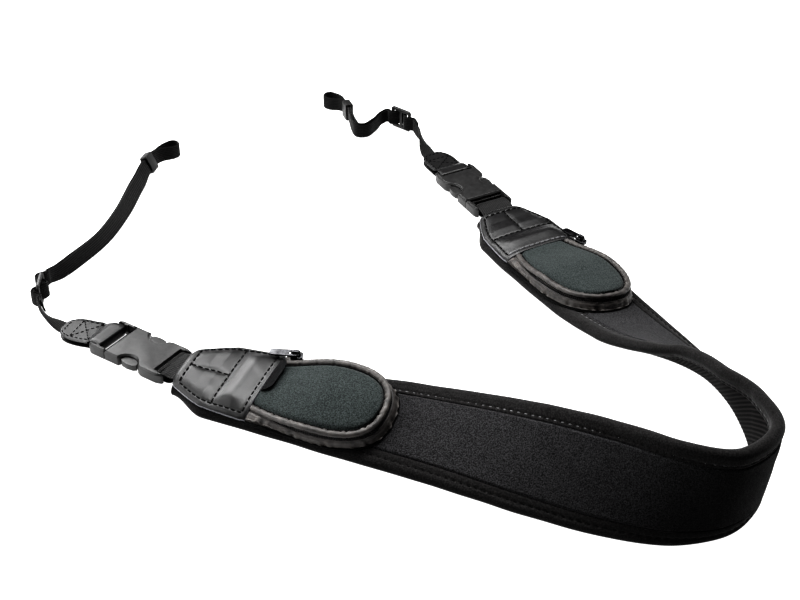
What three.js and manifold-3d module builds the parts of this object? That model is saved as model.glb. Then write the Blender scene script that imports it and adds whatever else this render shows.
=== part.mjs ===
// Camera neck strap. A padded band bent in a U lies on a table, with a zipped pocket and a leather
// cap at each end, then a side-release buckle, a leather tab and a narrow webbing loop.
// Millimetres, +Z up, resting on Z = 0. X runs to the right of the picture and Y away from the viewer.
import * as THREE from "three";
import { mergeVertices } from "three/addons/utils/BufferGeometryUtils.js";
import Module from "manifold-3d";

const wasm = await Module();
wasm.setup();

const RAD = Math.PI / 180;
const UP = new THREE.Vector3(0, 0, 1);
const GAP = 0.3;
// Moves the laid-out strap so that the middle of its box is over the origin.
const HOME = new THREE.Vector3(16.3, -23.1, 0);

// Band: full width, half thickness over the bindings, and the foot line that it stands or lies on.
const BAND_HALF = 30;
const HALF_THICK = 4;
const FOOT_Z = 4.09;
const FOOT_W = -(BAND_HALF - HALF_THICK);
const END_HALF = 18.5;
const FLARE = 27;
// Extra half width between the pockets, the distance from each end where it starts and its growing length.
const MIDDLE_EXTRA = 2.1;
const MIDDLE_FROM = 150;
const MIDDLE_BLEND = 120;
const BINDING_WIDTH = 6;
const BINDING_WALL = 1;
const CORE_HALF = HALF_THICK - BINDING_WALL - GAP;
const CROWN = 4.3;
const BAND_STEPS = 50;
const STEP_REACH = 110;
// Foot line of the band from the left end round to the right end. Lean 0 lies flat, 90 stands on edge.
const BAND_ROWS = [
  { x: -142, y: -112, lean: 5 },
  { x: -90, y: -134, lean: 8 },
  { x: -41, y: -156, lean: 14 },
  { x: 16, y: -181, lean: 29 },
  { x: 66, y: -205, lean: 47 },
  { x: 110, y: -223, lean: 60 },
  { x: 147, y: -230, lean: 79 },
  { x: 176, y: -223, lean: 94.5 },
  { x: 194, y: -205, lean: 96.5 },
  { x: 204, y: -177, lean: 82 },
  { x: 207, y: -150, lean: 64.5 },
  { x: 206, y: -126, lean: 55 },
  { x: 201, y: -101, lean: 44.5 },
  { x: 190, y: -74, lean: 30 },
  { x: 171, y: -37, lean: 13 },
  { x: 151, y: 1, lean: 4 },
  { x: 119, y: 60, lean: 0 },
  { x: 94, y: 107, lean: 0 },
];

// Leather cap at each end of the band, measured from the narrow end; crown is its rise in the middle.
const CAP_LENGTH = 56;
const CAP_THICK = 1.6;
const CAP_UNDER = 4.6;
const CAP_ROWS = [
  { u: 0, half: 15.5, crown: 3.2 },
  { u: 2.5, half: 17.8, crown: 3.6 },
  { u: 9, half: 20.9, crown: 3.3 },
  { u: 16, half: 24.1, crown: 2.8 },
  { u: 24, half: 27, crown: 3.1 },
  { u: 31, half: 27.7, crown: 2.4 },
  { u: 36, half: 28, crown: 3.8 },
  { u: 44, half: 28.5, crown: 4.6 },
  { u: 52, half: 28.8, crown: 4.3 },
  { u: 56, half: 28.2, crown: 4.6 },
];

// Pocket behind the cap's fold; u is from the fold and n from the band's mid plane.
const POCKET_FRONT = 0.5;
const POCKET_SIDE = 40;
const BASE_HALF = 28.8;
const BASE_TIP = 85;
const POCKET_UNDER = 4.65;
const LID_HALF_FOLD = 17;
const LID_HALF = 23.6;
const LID_TIP = 78;
const TIP_POWER = 2.5;
const LID_THICK = 2;
const LID_LOW = 8.5;
const LID_HIGH = 14.4;
const PIPING_HALF = 2;
const PIPING_TALL = 1.6;
const WALL = 1.2;
const ZIP_FROM = 0.66;

// Zip slider and pull near the fold; the pull's bar turns under the slider's arch.
const SLIDER_U = 7.5;
const SLIDER_W = 27;
const SLIDER_BASE = 8.4;
const PULL_AXIS = 3.5;
const PULL_LENGTH = 17;
const PULL_TURN = -4;
const SLIDER_YAW = 11;

// Side-release buckle: bar to bar, outer half width, thickness, and the half section of its bars.
const BAR_SPAN = 55;
const BUCKLE_HALF = 16;
const BUCKLE_HIGH = 8;
const BAR_HALF = 2;
const BAR_SQUARE = 0.31;
const CORNER = 4;
const RIM = 1.2;
const MOUTH = 44;
// Open trough of the male half between the mouth and its strap slot: its front wall and its floor.
const TROUGH = { wall: 1.4, wallTop: 5.2, floor: 2.6 };
// Round finger notch in each side of the buckle, where the prongs show, as an arc between two turns.
const NOTCH = { x: 25, y: 17.5, radius: 8, from: -11, to: -147 };
// Half width between the rails, then of the slots that the straps pass through.
const SLOT_HALF = 13.4;
const PASS_HALF = 12.6;
const STRAP_HALF = 12.2;
const STRAP_THICK = 1.6;
const TAB_HALF = 12;
const TAB_THICK = 1.5;
const TAB_LENGTH = 33;
// Middle of the bar on the band's side, the heading from it to the tab, and the tab's own heading.
const BUCKLES = {
  left: { x: -140.4, y: -78.3, heading: 146, tab: 158 },
  right: { x: 66.9, y: 112.6, heading: 118.5, tab: 119 },
};

// Narrow webbing of the arms: two layers from the tab to the loop at the far end and back.
const WEB_WIDTH = 11;
const WEB_THICK = 1.2;
const LAYER_HALF = 0.85;
const LOOP_HALF = 4.8;
const LOOP_REACH = 19;
const TAIL = 19;
const WEAVE = 3.9;
const BAR_PITCH = 8.4;
// Arm rows: roll 0 lies flat and 90 stands on edge; mark names the slider and the keeper.
const ARMS = {
  left: [
    { x: -198, y: -42.5, roll: 0 },
    { x: -217.5, y: -34.5, roll: 0 },
    { x: -229, y: -26.5, roll: 45 },
    { x: -236.6, y: -13, roll: 90 },
    { x: -238, y: 0, roll: 90, mark: "slider" },
    { x: -237.5, y: 13, roll: 90 },
    { x: -224.5, y: 35, roll: 65 },
    { x: -209, y: 66, roll: 45 },
    { x: -200, y: 102, roll: 38 },
    { x: -195, y: 138, roll: 48 },
    { x: -189.5, y: 169, roll: 66, mark: "keeper" },
    { x: -183, y: 184, roll: 80 },
    { x: -175, y: 194, roll: 90 },
  ],
  right: [
    { x: 32, y: 173, roll: 0 },
    { x: 22, y: 192, roll: 0 },
    { x: 18.5, y: 206, roll: 50 },
    { x: 15, y: 220, roll: 90 },
    { x: 9, y: 230.5, roll: 90 },
    { x: 1, y: 238, roll: 90, mark: "slider" },
    { x: -7, y: 244, roll: 90 },
    { x: -15, y: 242, roll: 90 },
    { x: -21, y: 233, roll: 90 },
    { x: -27, y: 225, roll: 90 },
    { x: -33, y: 225, roll: 90 },
    { x: -36.5, y: 233, roll: 90 },
    { x: -42, y: 255, roll: 90, mark: "keeper" },
    { x: -48, y: 267, roll: 90 },
    { x: -57, y: 275, roll: 90 },
  ],
};

const COLOURS = {
  pad: { colour: 0x1c1b1b, rough: 0.85 },
  binding: { colour: 0x211e1d, rough: 0.8 },
  grip: { colour: 0x242222, rough: 0.75 },
  leather: { colour: 0x3a3737, rough: 0.45 },
  piping: { colour: 0x4a443f, rough: 0.7 },
  gusset: { colour: 0x35302d, rough: 0.75 },
  zipper: { colour: 0x1a1919, rough: 0.6 },
  lid: { colour: 0x2f3735, rough: 0.9 },
  metal: { colour: 0x3c3c3e, rough: 0.28, metal: 1 },
  web: { colour: 0x242323, rough: 0.75 },
  plastic: { colour: 0x2b2a2a, rough: 0.4 },
  label: { colour: 0x161515, rough: 0.6 },
};

const group = new THREE.Group();

function add(name, geometry, look) {
  const { colour, rough, metal = 0 } = COLOURS[look];
  const material = new THREE.MeshStandardMaterial({ color: colour, roughness: rough, metalness: metal });
  const mesh = new THREE.Mesh(geometry, material);
  mesh.name = name;
  group.add(mesh);
}

function smooth(t) {
  const x = Math.min(1, Math.max(0, t));
  return x * x * (3 - 2 * x);
}

function blend(a, b, t) {
  return a + (b - a) * t;
}

function range(steps) {
  return Array.from({ length: steps + 1 }, (_, i) => i / steps);
}

// Volume enclosed by an indexed surface, negative when it faces inwards.
function signedVolume(points, index) {
  let six = 0;
  for (let i = 0; i < index.length; i += 3) {
    const [a, b, c] = [points[index[i]], points[index[i + 1]], points[index[i + 2]]];
    six += a.dot(new THREE.Vector3().crossVectors(b, c));
  }
  return six / 6;
}

// Closed solid through rings of points; section is the flat outline of the end rings, anticlockwise.
// Each four-sided face is split along its shorter diagonal, so that parallel skins stay parallel.
function loft(rings, section) {
  const count = rings[0].length;
  const points = rings.flat();
  const index = [];
  for (let i = 0; i + 1 < rings.length; i++) {
    for (let j = 0; j < count; j++) {
      const a = i * count + j;
      const b = i * count + ((j + 1) % count);
      const c = b + count;
      const d = a + count;
      const split = points[a].distanceTo(points[c]) < points[b].distanceTo(points[d]);
      index.push(...(split ? [a, b, c, a, c, d] : [a, b, d, b, c, d]));
    }
  }
  const last = (rings.length - 1) * count;
  const outline = section.map(([x, y]) => new THREE.Vector2(x, y));
  for (const [a, b, c] of THREE.ShapeUtils.triangulateShape(outline, [])) {
    index.push(c, b, a, last + a, last + b, last + c);
  }
  if (signedVolume(points, index) < 0) index.reverse();
  const geometry = new THREE.BufferGeometry().setFromPoints(points);
  geometry.setIndex(index);
  geometry.computeVertexNormals();
  return geometry;
}

function toSolid(geometry) {
  const plain = geometry.clone();
  plain.deleteAttribute("normal");
  plain.deleteAttribute("uv");
  const merged = mergeVertices(plain, 1e-4);
  const vertProperties = new Float32Array(merged.attributes.position.array);
  const triVerts = new Uint32Array(merged.index.array);
  return new wasm.Manifold(new wasm.Mesh({ numProp: 3, vertProperties, triVerts }));
}

function fromSolid(solid) {
  const mesh = solid.getMesh();
  const geometry = new THREE.BufferGeometry();
  geometry.setAttribute("position", new THREE.Float32BufferAttribute(mesh.vertProperties, 3));
  geometry.setIndex(Array.from(mesh.triVerts));
  geometry.computeVertexNormals();
  return geometry;
}

// Block between two corners.
function block(x0, x1, y0, y1, z0, z1) {
  const box = new THREE.BoxGeometry(x1 - x0, y1 - y0, z1 - z0);
  return box.translate((x0 + x1) / 2, (y0 + y1) / 2, (z0 + z1) / 2);
}

function flatShape(outline, holes = []) {
  const shape = new THREE.Shape(outline.map(([x, y]) => new THREE.Vector2(x, y)));
  for (const hole of holes) {
    shape.holes.push(new THREE.Path(hole.map(([x, y]) => new THREE.Vector2(x, y))));
  }
  return shape;
}

// Plate of a flat outline, from height z0 to z1.
function plate(outline, z0, z1, holes = []) {
  const options = { depth: z1 - z0, bevelEnabled: false };
  return new THREE.ExtrudeGeometry(flatShape(outline, holes), options).translate(0, 0, z0);
}

// Plate whose upper and lower rims are chamfered.
function chamferedPlate(outline, z0, z1, chamfer) {
  const bevel = { bevelThickness: chamfer, bevelSize: chamfer, bevelOffset: -chamfer, bevelSegments: 1 };
  const options = { depth: z1 - z0 - 2 * chamfer, bevelEnabled: true, ...bevel };
  return new THREE.ExtrudeGeometry(flatShape(outline), options).translate(0, 0, z0 + chamfer);
}

// Outline of a rectangle with cut corners, anticlockwise.
function cutRect(x0, x1, y0, y1, cut) {
  return [
    [x0 + cut, y0], [x1 - cut, y0], [x1, y0 + cut], [x1, y1 - cut],
    [x1 - cut, y1], [x0 + cut, y1], [x0, y1 - cut], [x0, y0 + cut],
  ];
}

// Outline of a rectangle between x0 and x1 with the two corners at x0 rounded, anticlockwise.
function endRound(x0, x1, half, radius) {
  const side = Math.sign(x0 - x1);
  const turns = range(4).map((f) => f * 90 * RAD);
  const corner = turns.map((a) => {
    const x = x0 - side * radius * (1 - Math.cos(a));
    return [x, half - radius * (1 - Math.sin(a))];
  });
  const mirrored = corner.map(([x, y]) => [x, -y]).reverse();
  const outline = [...mirrored, ...corner, [x1, half], [x1, -half]];
  return side > 0 ? outline : outline.reverse();
}

function rect(x0, x1, y0, y1) {
  return [[x0, y0], [x1, y0], [x1, y1], [x0, y1]];
}

// Band frame

const foot = new THREE.CatmullRomCurve3(BAND_ROWS.map((r) => new THREE.Vector3(r.x, r.y, FOOT_Z)));
const leans = new THREE.CatmullRomCurve3(BAND_ROWS.map((r) => new THREE.Vector3(r.lean, 0, 0)));
foot.arcLengthDivisions = 800;
const BAND_LENGTH = foot.getLength();

// Directions on the band at a distance along it: along, across towards the inside, and out of the face.
function bandFrame(u) {
  const t = foot.getUtoTmapping(Math.min(1, Math.max(0, u / BAND_LENGTH)));
  const along = foot.getTangent(t);
  const lean = leans.getPoint(t).x * RAD;
  const inward = new THREE.Vector3(-along.y, along.x, 0).normalize();
  const across = inward.clone().multiplyScalar(Math.cos(lean)).addScaledVector(UP, Math.sin(lean));
  const out = UP.clone().multiplyScalar(Math.cos(lean)).addScaledVector(inward, -Math.sin(lean));
  const start = foot.getPoint(t);
  const beyond = u < 0 ? u : Math.max(0, u - BAND_LENGTH);
  start.addScaledVector(along, beyond);
  return { start, along, across, out };
}

function extraHalf(u) {
  const fromEnd = Math.min(u, BAND_LENGTH - u);
  return MIDDLE_EXTRA * smooth((fromEnd - MIDDLE_FROM) / MIDDLE_BLEND);
}

// Point of the band: u along it, w across from its middle, n out of its face from its mid plane.
function bandPoint(u, w, n) {
  const { start, across, out } = bandFrame(u);
  return start.addScaledVector(across, w - FOOT_W + extraHalf(u)).addScaledVector(out, n);
}

// Half width of the band, which narrows under both caps and is widest in the middle.
function bandHalf(u) {
  const fromEnd = Math.min(u, BAND_LENGTH - u);
  return blend(END_HALF, BAND_HALF, smooth(fromEnd / FLARE)) + extraHalf(u);
}

// Distances along the band, closer together where it bends or twists.
function bandStops() {
  const fine = range(900).map((f) => f * BAND_LENGTH);
  const frames = fine.map(bandFrame);
  const turned = [0];
  for (let i = 1; i < fine.length; i++) {
    const bend = frames[i].along.angleTo(frames[i - 1].along);
    const twist = frames[i].across.angleTo(frames[i - 1].across);
    turned.push(turned[i - 1] + bend + 2 * twist + (fine[i] - fine[i - 1]) / STEP_REACH);
  }
  const total = turned[turned.length - 1];
  return range(BAND_STEPS).map((f) => fine[turned.findIndex((t) => t >= f * total - 1e-9)]);
}

const stops = bandStops();

function sweepBand(sectionAt) {
  const rings = stops.map((u) => sectionAt(u).map(([w, n]) => bandPoint(u, w, n)));
  return loft(rings, sectionAt(0));
}

// Round edge of the given radius about a point, from the back to the face on side +1 or the reverse on -1.
function roundEdge(w, radius, side) {
  return [-90, -32, 32, 90].map((a) => {
    const turn = side > 0 ? a : 180 + a;
    return [w + radius * Math.cos(turn * RAD), radius * Math.sin(turn * RAD)];
  });
}

function coreSection(u) {
  const edge = bandHalf(u) - HALF_THICK;
  const rise = edge - BINDING_WIDTH;
  const shoulder = rise - 2;
  const top = [[shoulder, CROWN - GAP], [0, CROWN], [-shoulder, CROWN - GAP]];
  const face = [[rise, CORE_HALF], ...top, [-rise, CORE_HALF]];
  const back = [[-rise, -CORE_HALF], [0, -CORE_HALF], [rise, -CORE_HALF]];
  return [...roundEdge(edge, CORE_HALF, 1), ...face, ...roundEdge(-edge, CORE_HALF, -1), ...back];
}

function bindingSection(u, side) {
  const edge = bandHalf(u) - HALF_THICK;
  const lip = edge - BINDING_WIDTH;
  const inner = HALF_THICK - BINDING_WALL;
  const outside = [[lip, -HALF_THICK], ...roundEdge(edge, HALF_THICK, 1), [lip, HALF_THICK]];
  const inside = [[lip, -inner], ...roundEdge(edge, inner, 1), [lip, inner]].reverse();
  const section = [...outside, ...inside];
  return side > 0 ? section : section.map(([w, n]) => [-w, -n]);
}

function gripSection(u) {
  const half = bandHalf(u) - HALF_THICK - BINDING_WIDTH - GAP;
  const inner = -CORE_HALF - GAP;
  const across = [-half, 0, half];
  return [...across.map((w) => [w, -HALF_THICK]), ...across.map((w) => [-w, inner])];
}

add("neck_pad", sweepBand(coreSection), "pad");
add("edge_binding_outer", sweepBand((u) => bindingSection(u, -1)), "binding");
add("edge_binding_inner", sweepBand((u) => bindingSection(u, 1)), "binding");
add("grip_back", sweepBand(gripSection), "grip");

// Ends of the band: the two are one end turned half round, so u runs from each narrow end.
function endPoint(side, u, w, n) {
  return side === "left" ? bandPoint(u, w, n) : bandPoint(BAND_LENGTH - u, -w, n);
}

function endFrame(side, u) {
  const { along, across, out } = bandFrame(side === "left" ? u : BAND_LENGTH - u);
  if (side === "left") return { along, across, out };
  return { along: along.negate(), across: across.negate(), out };
}

function placeAt(geometry, origin, x, y, z) {
  const matrix = new THREE.Matrix4().makeBasis(x, y, z).setPosition(origin);
  return geometry.applyMatrix4(matrix);
}

function endCap(side) {
  const across = [-1, -0.88, -0.66, -0.33, 0, 0.33, 0.66, 0.88, 1];
  const lower = across.map((f) => [f, 0]);
  const upper = across.map((f) => [f, 1]).reverse();
  const rings = CAP_ROWS.map((row) => {
    return [...lower, ...upper].map(([f, top]) => {
      const n = CAP_UNDER + row.crown * (1 - f ** 4) + top * CAP_THICK;
      return endPoint(side, row.u, f * row.half, n);
    });
  });
  return loft(rings, [...lower, ...upper]);
}

// Outline of the pocket from the fold, round its tip and back, as flat points.
function pocketOutline(halfAt, tip) {
  const sides = range(5).slice(0, -1).map((f) => blend(POCKET_FRONT, POCKET_SIDE, f));
  const near = sides.map((u) => new THREE.Vector2(u, -halfAt(u)));
  const far = sides.map((u) => new THREE.Vector2(u, halfAt(u))).reverse();
  const half = halfAt(POCKET_SIDE);
  const round = range(12).map((f) => {
    const turn = (f * 180 - 90) * RAD;
    const ahead = Math.abs(Math.cos(turn)) ** (2 / TIP_POWER);
    const aside = Math.sign(turn) * Math.abs(Math.sin(turn)) ** (2 / TIP_POWER);
    return new THREE.Vector2(POCKET_SIDE + (tip - POCKET_SIDE) * ahead, half * aside);
  });
  return [...near, ...round, ...far];
}

function lidHalf(u) {
  return blend(LID_HALF_FOLD, LID_HALF, Math.sin((Math.PI / 2) * Math.min(1, u / POCKET_SIDE)));
}

function lidLevel(u) {
  return blend(LID_LOW, LID_HIGH, smooth(u / 46));
}

const baseOutline = pocketOutline(() => BASE_HALF, BASE_TIP);
const lidOutline = pocketOutline(lidHalf, LID_TIP);

// Outward direction of an outline at one of its points.
function outward(outline, i) {
  if (i === 0 || i === outline.length - 1) return new THREE.Vector2(0, Math.sign(outline[i].y));
  const before = outline[Math.max(0, i - 1)];
  const after = outline[Math.min(outline.length - 1, i + 1)];
  const along = after.clone().sub(before).normalize();
  return new THREE.Vector2(along.y, -along.x);
}

// Pocket side wall between two shares of its height, bowed a little outwards.
function pocketWall(side, from, to, bow, sink) {
  const rings = baseOutline.map((base, i) => {
    const lidEdge = lidOutline[i].clone().addScaledVector(outward(lidOutline, i), 1.6);
    const top = lidLevel(lidOutline[i].x) - PIPING_TALL - WALL - 0.85;
    const foot = base.clone().addScaledVector(outward(baseOutline, i), -1);
    const reach = foot.distanceTo(lidEdge);
    const slope = new THREE.Vector2(reach, top - POCKET_UNDER).normalize();
    const plan = foot.clone().sub(lidEdge).normalize();
    const at = (t, depth) => {
      const lift = depth + bow * 4 * t * (1 - t);
      const spot = foot.clone().lerp(lidEdge, t).addScaledVector(plan, lift * slope.y);
      const n = blend(POCKET_UNDER, top, t) + lift * slope.x;
      return endPoint(side, CAP_LENGTH + spot.x, spot.y, n);
    };
    const middle = (from + to) / 2;
    const skin = WALL - sink;
    return [at(from, 0), at(middle, 0), at(to, 0), at(to, skin), at(middle, skin), at(from, skin)];
  });
  return loft(rings, [[0, 0], [1, 0], [2, 0], [2, 1], [1, 1], [0, 1]]);
}

function lidPiping(side) {
  const turns = range(8).slice(0, -1).map((f) => f * 2 * Math.PI);
  const rings = lidOutline.map((edge, i) => {
    const away = outward(lidOutline, i);
    const level = lidLevel(edge.x) - 0.3;
    return turns.map((a) => {
      const spot = edge.clone().addScaledVector(away, GAP + 0.15 + PIPING_HALF * (1 + Math.cos(a)));
      return endPoint(side, CAP_LENGTH + spot.x, spot.y, level + PIPING_TALL * Math.sin(a));
    });
  });
  return loft(rings, turns.map((a) => [Math.cos(a), Math.sin(a)]));
}

function pocketLid(side) {
  const across = [-1, -0.75, -0.4, 0, 0.4, 0.75, 1];
  const lower = across.map((f) => [f, 0]);
  const upper = across.map((f) => [f, 1]).reverse();
  const straight = range(4).slice(0, -1).map((f) => blend(POCKET_FRONT, POCKET_SIDE, f));
  const round = range(8).map((f) => POCKET_SIDE + (LID_TIP - POCKET_SIDE) * Math.sin(f * 84 * RAD));
  const rings = [...straight, ...round].map((u) => {
    const bend = Math.max(0, (u - POCKET_SIDE) / (LID_TIP - POCKET_SIDE));
    const half = lidHalf(u) * (1 - bend ** TIP_POWER) ** (1 / TIP_POWER);
    const dome = blend(0.4, 2.4, smooth(u / 40)) * (half / LID_HALF);
    return [...lower, ...upper].map(([f, top]) => {
      const n = lidLevel(u) - 1 + dome * (1 - f * f) + top * LID_THICK;
      return endPoint(side, CAP_LENGTH + u, f * half, n);
    });
  });
  return loft(rings, [...lower, ...upper]);
}

function foldLabel(side) {
  const rows = [{ u: 0.7, n: 10.2 }, { u: 3, n: 10.5 }, { u: 5.5, n: 11.2 }, { u: 8, n: 12.2 }];
  const across = [-7, 0, 7, 14, 20.5];
  const lower = across.map((w) => [w, 0]);
  const upper = across.map((w) => [w, 0.9]).reverse();
  const rings = rows.map(({ u, n }) => {
    return [...lower, ...upper].map(([w, lift]) => endPoint(side, CAP_LENGTH + u, w, n + lift));
  });
  return loft(rings, [...lower, ...upper]);
}

// Slider frame on the pocket's far side: x towards the cap, yawed to its middle, and z out of the band.
function sliderFrame(side) {
  const { along, across, out } = endFrame(side, CAP_LENGTH + SLIDER_U);
  const origin = endPoint(side, CAP_LENGTH + SLIDER_U, SLIDER_W, SLIDER_BASE);
  const x = along.clone().negate().applyAxisAngle(out, SLIDER_YAW * RAD);
  const y = across.clone().negate().applyAxisAngle(out, SLIDER_YAW * RAD);
  return { origin, x, y, z: out };
}

function zipSlider(side) {
  const arch = plate([[-2.8, 2], [2.8, 2], [2.8, 4.6], [1.8, 5.8], [-1.8, 5.8], [-2.8, 4.6]], -0.8, 0.8, [
    rect(-1.6, 1.6, 2.3, 4.6),
  ]);
  arch.rotateX(Math.PI / 2);
  const body = plate(cutRect(-4, 4, -2.7, 2.7, 1.2), 0, 2.3);
  const geometry = fromSolid(toSolid(body).add(toSolid(arch)));
  const { origin, x, y, z } = sliderFrame(side);
  return placeAt(geometry, origin, x, y, z);
}

// Pull turned about its bar; turn 0 lies towards the cap and 180 lies back along the zip.
function zipPull(side, turn) {
  const outline = [
    [-0.7, -2.5], [PULL_LENGTH - 1.2, -2.5], [PULL_LENGTH, -1.3],
    [PULL_LENGTH, 1.3], [PULL_LENGTH - 1.2, 2.5], [-0.7, 2.5],
  ];
  const geometry = plate(outline, -0.6, 0.6, [rect(0.7, 4.6, -1.2, 1.2)]);
  geometry.rotateY(-turn * RAD);
  geometry.translate(0, 0, PULL_AXIS);
  const { origin, x, y, z } = sliderFrame(side);
  return placeAt(geometry, origin, x, y, z);
}

// Buckles, straps and tabs

function heading(degrees) {
  return new THREE.Vector3(Math.cos(degrees * RAD), Math.sin(degrees * RAD), 0);
}

// Buckle frame with x from the female half's bar to the male half's bar.
function buckleFrame(side) {
  const buckle = BUCKLES[side];
  const bandBar = new THREE.Vector3(buckle.x, buckle.y, 0);
  const towardsTab = heading(buckle.heading);
  const tabBar = bandBar.clone().addScaledVector(towardsTab, BAR_SPAN);
  const femaleAtBand = side === "left";
  const origin = femaleAtBand ? bandBar : tabBar;
  const axis = femaleAtBand ? towardsTab : towardsTab.clone().negate();
  const y = new THREE.Vector3().crossVectors(UP, axis);
  return { origin, x: axis, y, z: UP, bandBar, tabBar, towardsTab };
}

function cut(solid, ...blocks) {
  return blocks.reduce((left, b) => left.subtract(toSolid(block(...b))), solid);
}

// Outline of the buckle's female half: straight mouth, round finger notches and rounded ears.
function femaleOutline() {
  const notch = range(7).map((f) => {
    const turn = blend(NOTCH.from, NOTCH.to, f) * RAD;
    return [NOTCH.x + NOTCH.radius * Math.cos(turn), NOTCH.y + NOTCH.radius * Math.sin(turn)];
  });
  const ear = [[16.8, 15], [13.8, 16.2], [2, 16.2], [-2, 14.8], [-4, 11]];
  const upper = [[MOUTH, BUCKLE_HALF], ...notch, ...ear];
  return [...upper, ...upper.map(([x, y]) => [x, -y]).reverse()];
}

function buckleFemale(side) {
  const shell = chamferedPlate(femaleOutline(), 0, BUCKLE_HIGH, RIM);
  const barTop = [-5, BAR_HALF, -SLOT_HALF, SLOT_HALF, 4 + BAR_HALF, BUCKLE_HIGH + 1];
  const barBottom = [-5, BAR_HALF, -SLOT_HALF, SLOT_HALF, -1, 4 - BAR_HALF];
  const barBack = [-5, -BAR_HALF, -SLOT_HALF, SLOT_HALF, -1, BUCKLE_HIGH + 1];
  const slot = [BAR_HALF, 5.6, -PASS_HALF, PASS_HALF, -1, BUCKLE_HIGH + 1];
  const cavity = [13, MOUTH + 1, -12.6, 12.6, 1.6, 6.4];
  const solid = cut(toSolid(shell), barTop, barBottom, barBack, slot, cavity);
  const { origin, x, y, z } = buckleFrame(side);
  return placeAt(fromSolid(solid), origin, x, y, z);
}

function buckleMale(side) {
  const far = BAR_SPAN;
  const base = chamferedPlate(endRound(far + 4, MOUTH + 0.4, BUCKLE_HALF, CORNER), 0, BUCKLE_HIGH, RIM);
  const barTop = [far - BAR_HALF, far + 5, -SLOT_HALF, SLOT_HALF, 4 + BAR_HALF, BUCKLE_HIGH + 1];
  const barBottom = [far - BAR_HALF, far + 5, -SLOT_HALF, SLOT_HALF, -1, 4 - BAR_HALF];
  const barBack = [far + BAR_HALF, far + 5, -SLOT_HALF, SLOT_HALF, -1, BUCKLE_HIGH + 1];
  const slot = [far - 5.6, far - BAR_HALF, -PASS_HALF, PASS_HALF, -1, BUCKLE_HIGH + 1];
  const trimmed = cut(toSolid(base), barTop, barBottom, barBack, slot);
  const rounded = [[31.4, 14.2], [29.4, 15.7], [25, 16.3], [20.6, 15.7], [18.6, 14.2]];
  const pad = [[30.4, 12.2], ...rounded, [19.6, 12.2]];
  const root = MOUTH + TROUGH.wall - 0.3;
  const prong = [[root, 12.2], ...pad, [17.4, 10.6], [18.4, 9], [26, 9.4], [root, 8.6]];
  const arms = [1, -1].map((flip) => plate(prong.map(([px, py]) => [px, py * flip]), 2, 6));
  const guide = block(17, root, -2.2, 2.2, 2, 6);
  const whole = [...arms, guide].reduce((left, g) => left.add(toSolid(g)), trimmed);
  const overWall = [MOUTH, far - 5, -SLOT_HALF, SLOT_HALF, TROUGH.wallTop, BUCKLE_HIGH + 1];
  const trough = [MOUTH + TROUGH.wall, far - 5, -SLOT_HALF, SLOT_HALF, TROUGH.floor, BUCKLE_HIGH + 1];
  const solid = cut(whole, overWall, trough);
  const { origin, x, y, z } = buckleFrame(side);
  return placeAt(fromSolid(solid), origin, x, y, z);
}

// Flat strip through stations that give its middle, its sideways and outward directions and half width.
function ribbon(stations, thick) {
  const rings = stations.map(({ middle, sideways, normal, half }) => {
    const corner = (s, t) => {
      return middle.clone().addScaledVector(sideways, s * half).addScaledVector(normal, (t * thick) / 2);
    };
    return [corner(-1, -1), corner(1, -1), corner(1, 1), corner(-1, 1)];
  });
  return loft(rings, [[-1, -1], [1, -1], [1, 1], [-1, 1]]);
}

// Strip through spots that give its middle, sideways direction and half width.
function strip(spots, thick) {
  const stations = spots.map((spot, i) => {
    const before = spots[Math.max(0, i - 1)].middle;
    const after = spots[Math.min(spots.length - 1, i + 1)].middle;
    const along = after.clone().sub(before).normalize();
    return { ...spot, normal: new THREE.Vector3().crossVectors(along, spot.sideways).normalize() };
  });
  return ribbon(stations, thick);
}

// Spots at rows of x out of a buckle's bar, height z and half width; the strip bends sideways past the bar.
function barSpots(bar, outwards, bend, rows) {
  return rows.map((row) => {
    const ahead = outwards.clone().applyAxisAngle(UP, bend * smooth(row.x / 18) * RAD);
    const middle = bar.clone().addScaledVector(ahead, row.x).setZ(row.z);
    return { middle, sideways: new THREE.Vector3().crossVectors(UP, ahead), half: row.half };
  });
}

// Rows of a strip round a bar, from above it through the slot to below it.
function roundBar(half, thick) {
  const reach = BAR_HALF + GAP + thick / 2;
  const level = BUCKLE_HIGH / 2;
  return [90, 67, 45, 22, 0, -22, -45, -67, -90].map((a) => {
    const back = Math.abs(Math.cos(a * RAD)) ** BAR_SQUARE;
    const rise = Math.sign(a) * Math.abs(Math.sin(a * RAD)) ** BAR_SQUARE;
    return { x: -reach * back, z: level + reach * rise, half };
  });
}

function padWebbing(side) {
  const { bandBar, towardsTab } = buckleFrame(side);
  const outwards = towardsTab.clone().negate();
  const level = CAP_UNDER + STRAP_THICK / 2;
  const under = [24, 12, 1].map((u) => {
    const sideways = endFrame(side, u).across;
    return { middle: endPoint(side, u, 0, level), sideways, half: STRAP_HALF };
  });
  const looped = barSpots(bandBar, outwards, 0, roundBar(STRAP_HALF, STRAP_THICK));
  const folded = barSpots(bandBar, outwards, 0, [
    { x: 4, z: 1.2, half: STRAP_HALF },
    { x: 6.5, z: 1.9, half: STRAP_HALF },
  ]);
  const [last, first] = [under[2], looped[0]];
  const between = {
    middle: last.middle.clone().lerp(first.middle, 0.5).setZ((last.middle.z + first.middle.z) / 2 + 0.4),
    sideways: last.sideways.clone().add(first.sideways).normalize(),
    half: STRAP_HALF,
  };
  return strip([...under, between, ...looped, ...folded], STRAP_THICK);
}

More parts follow.
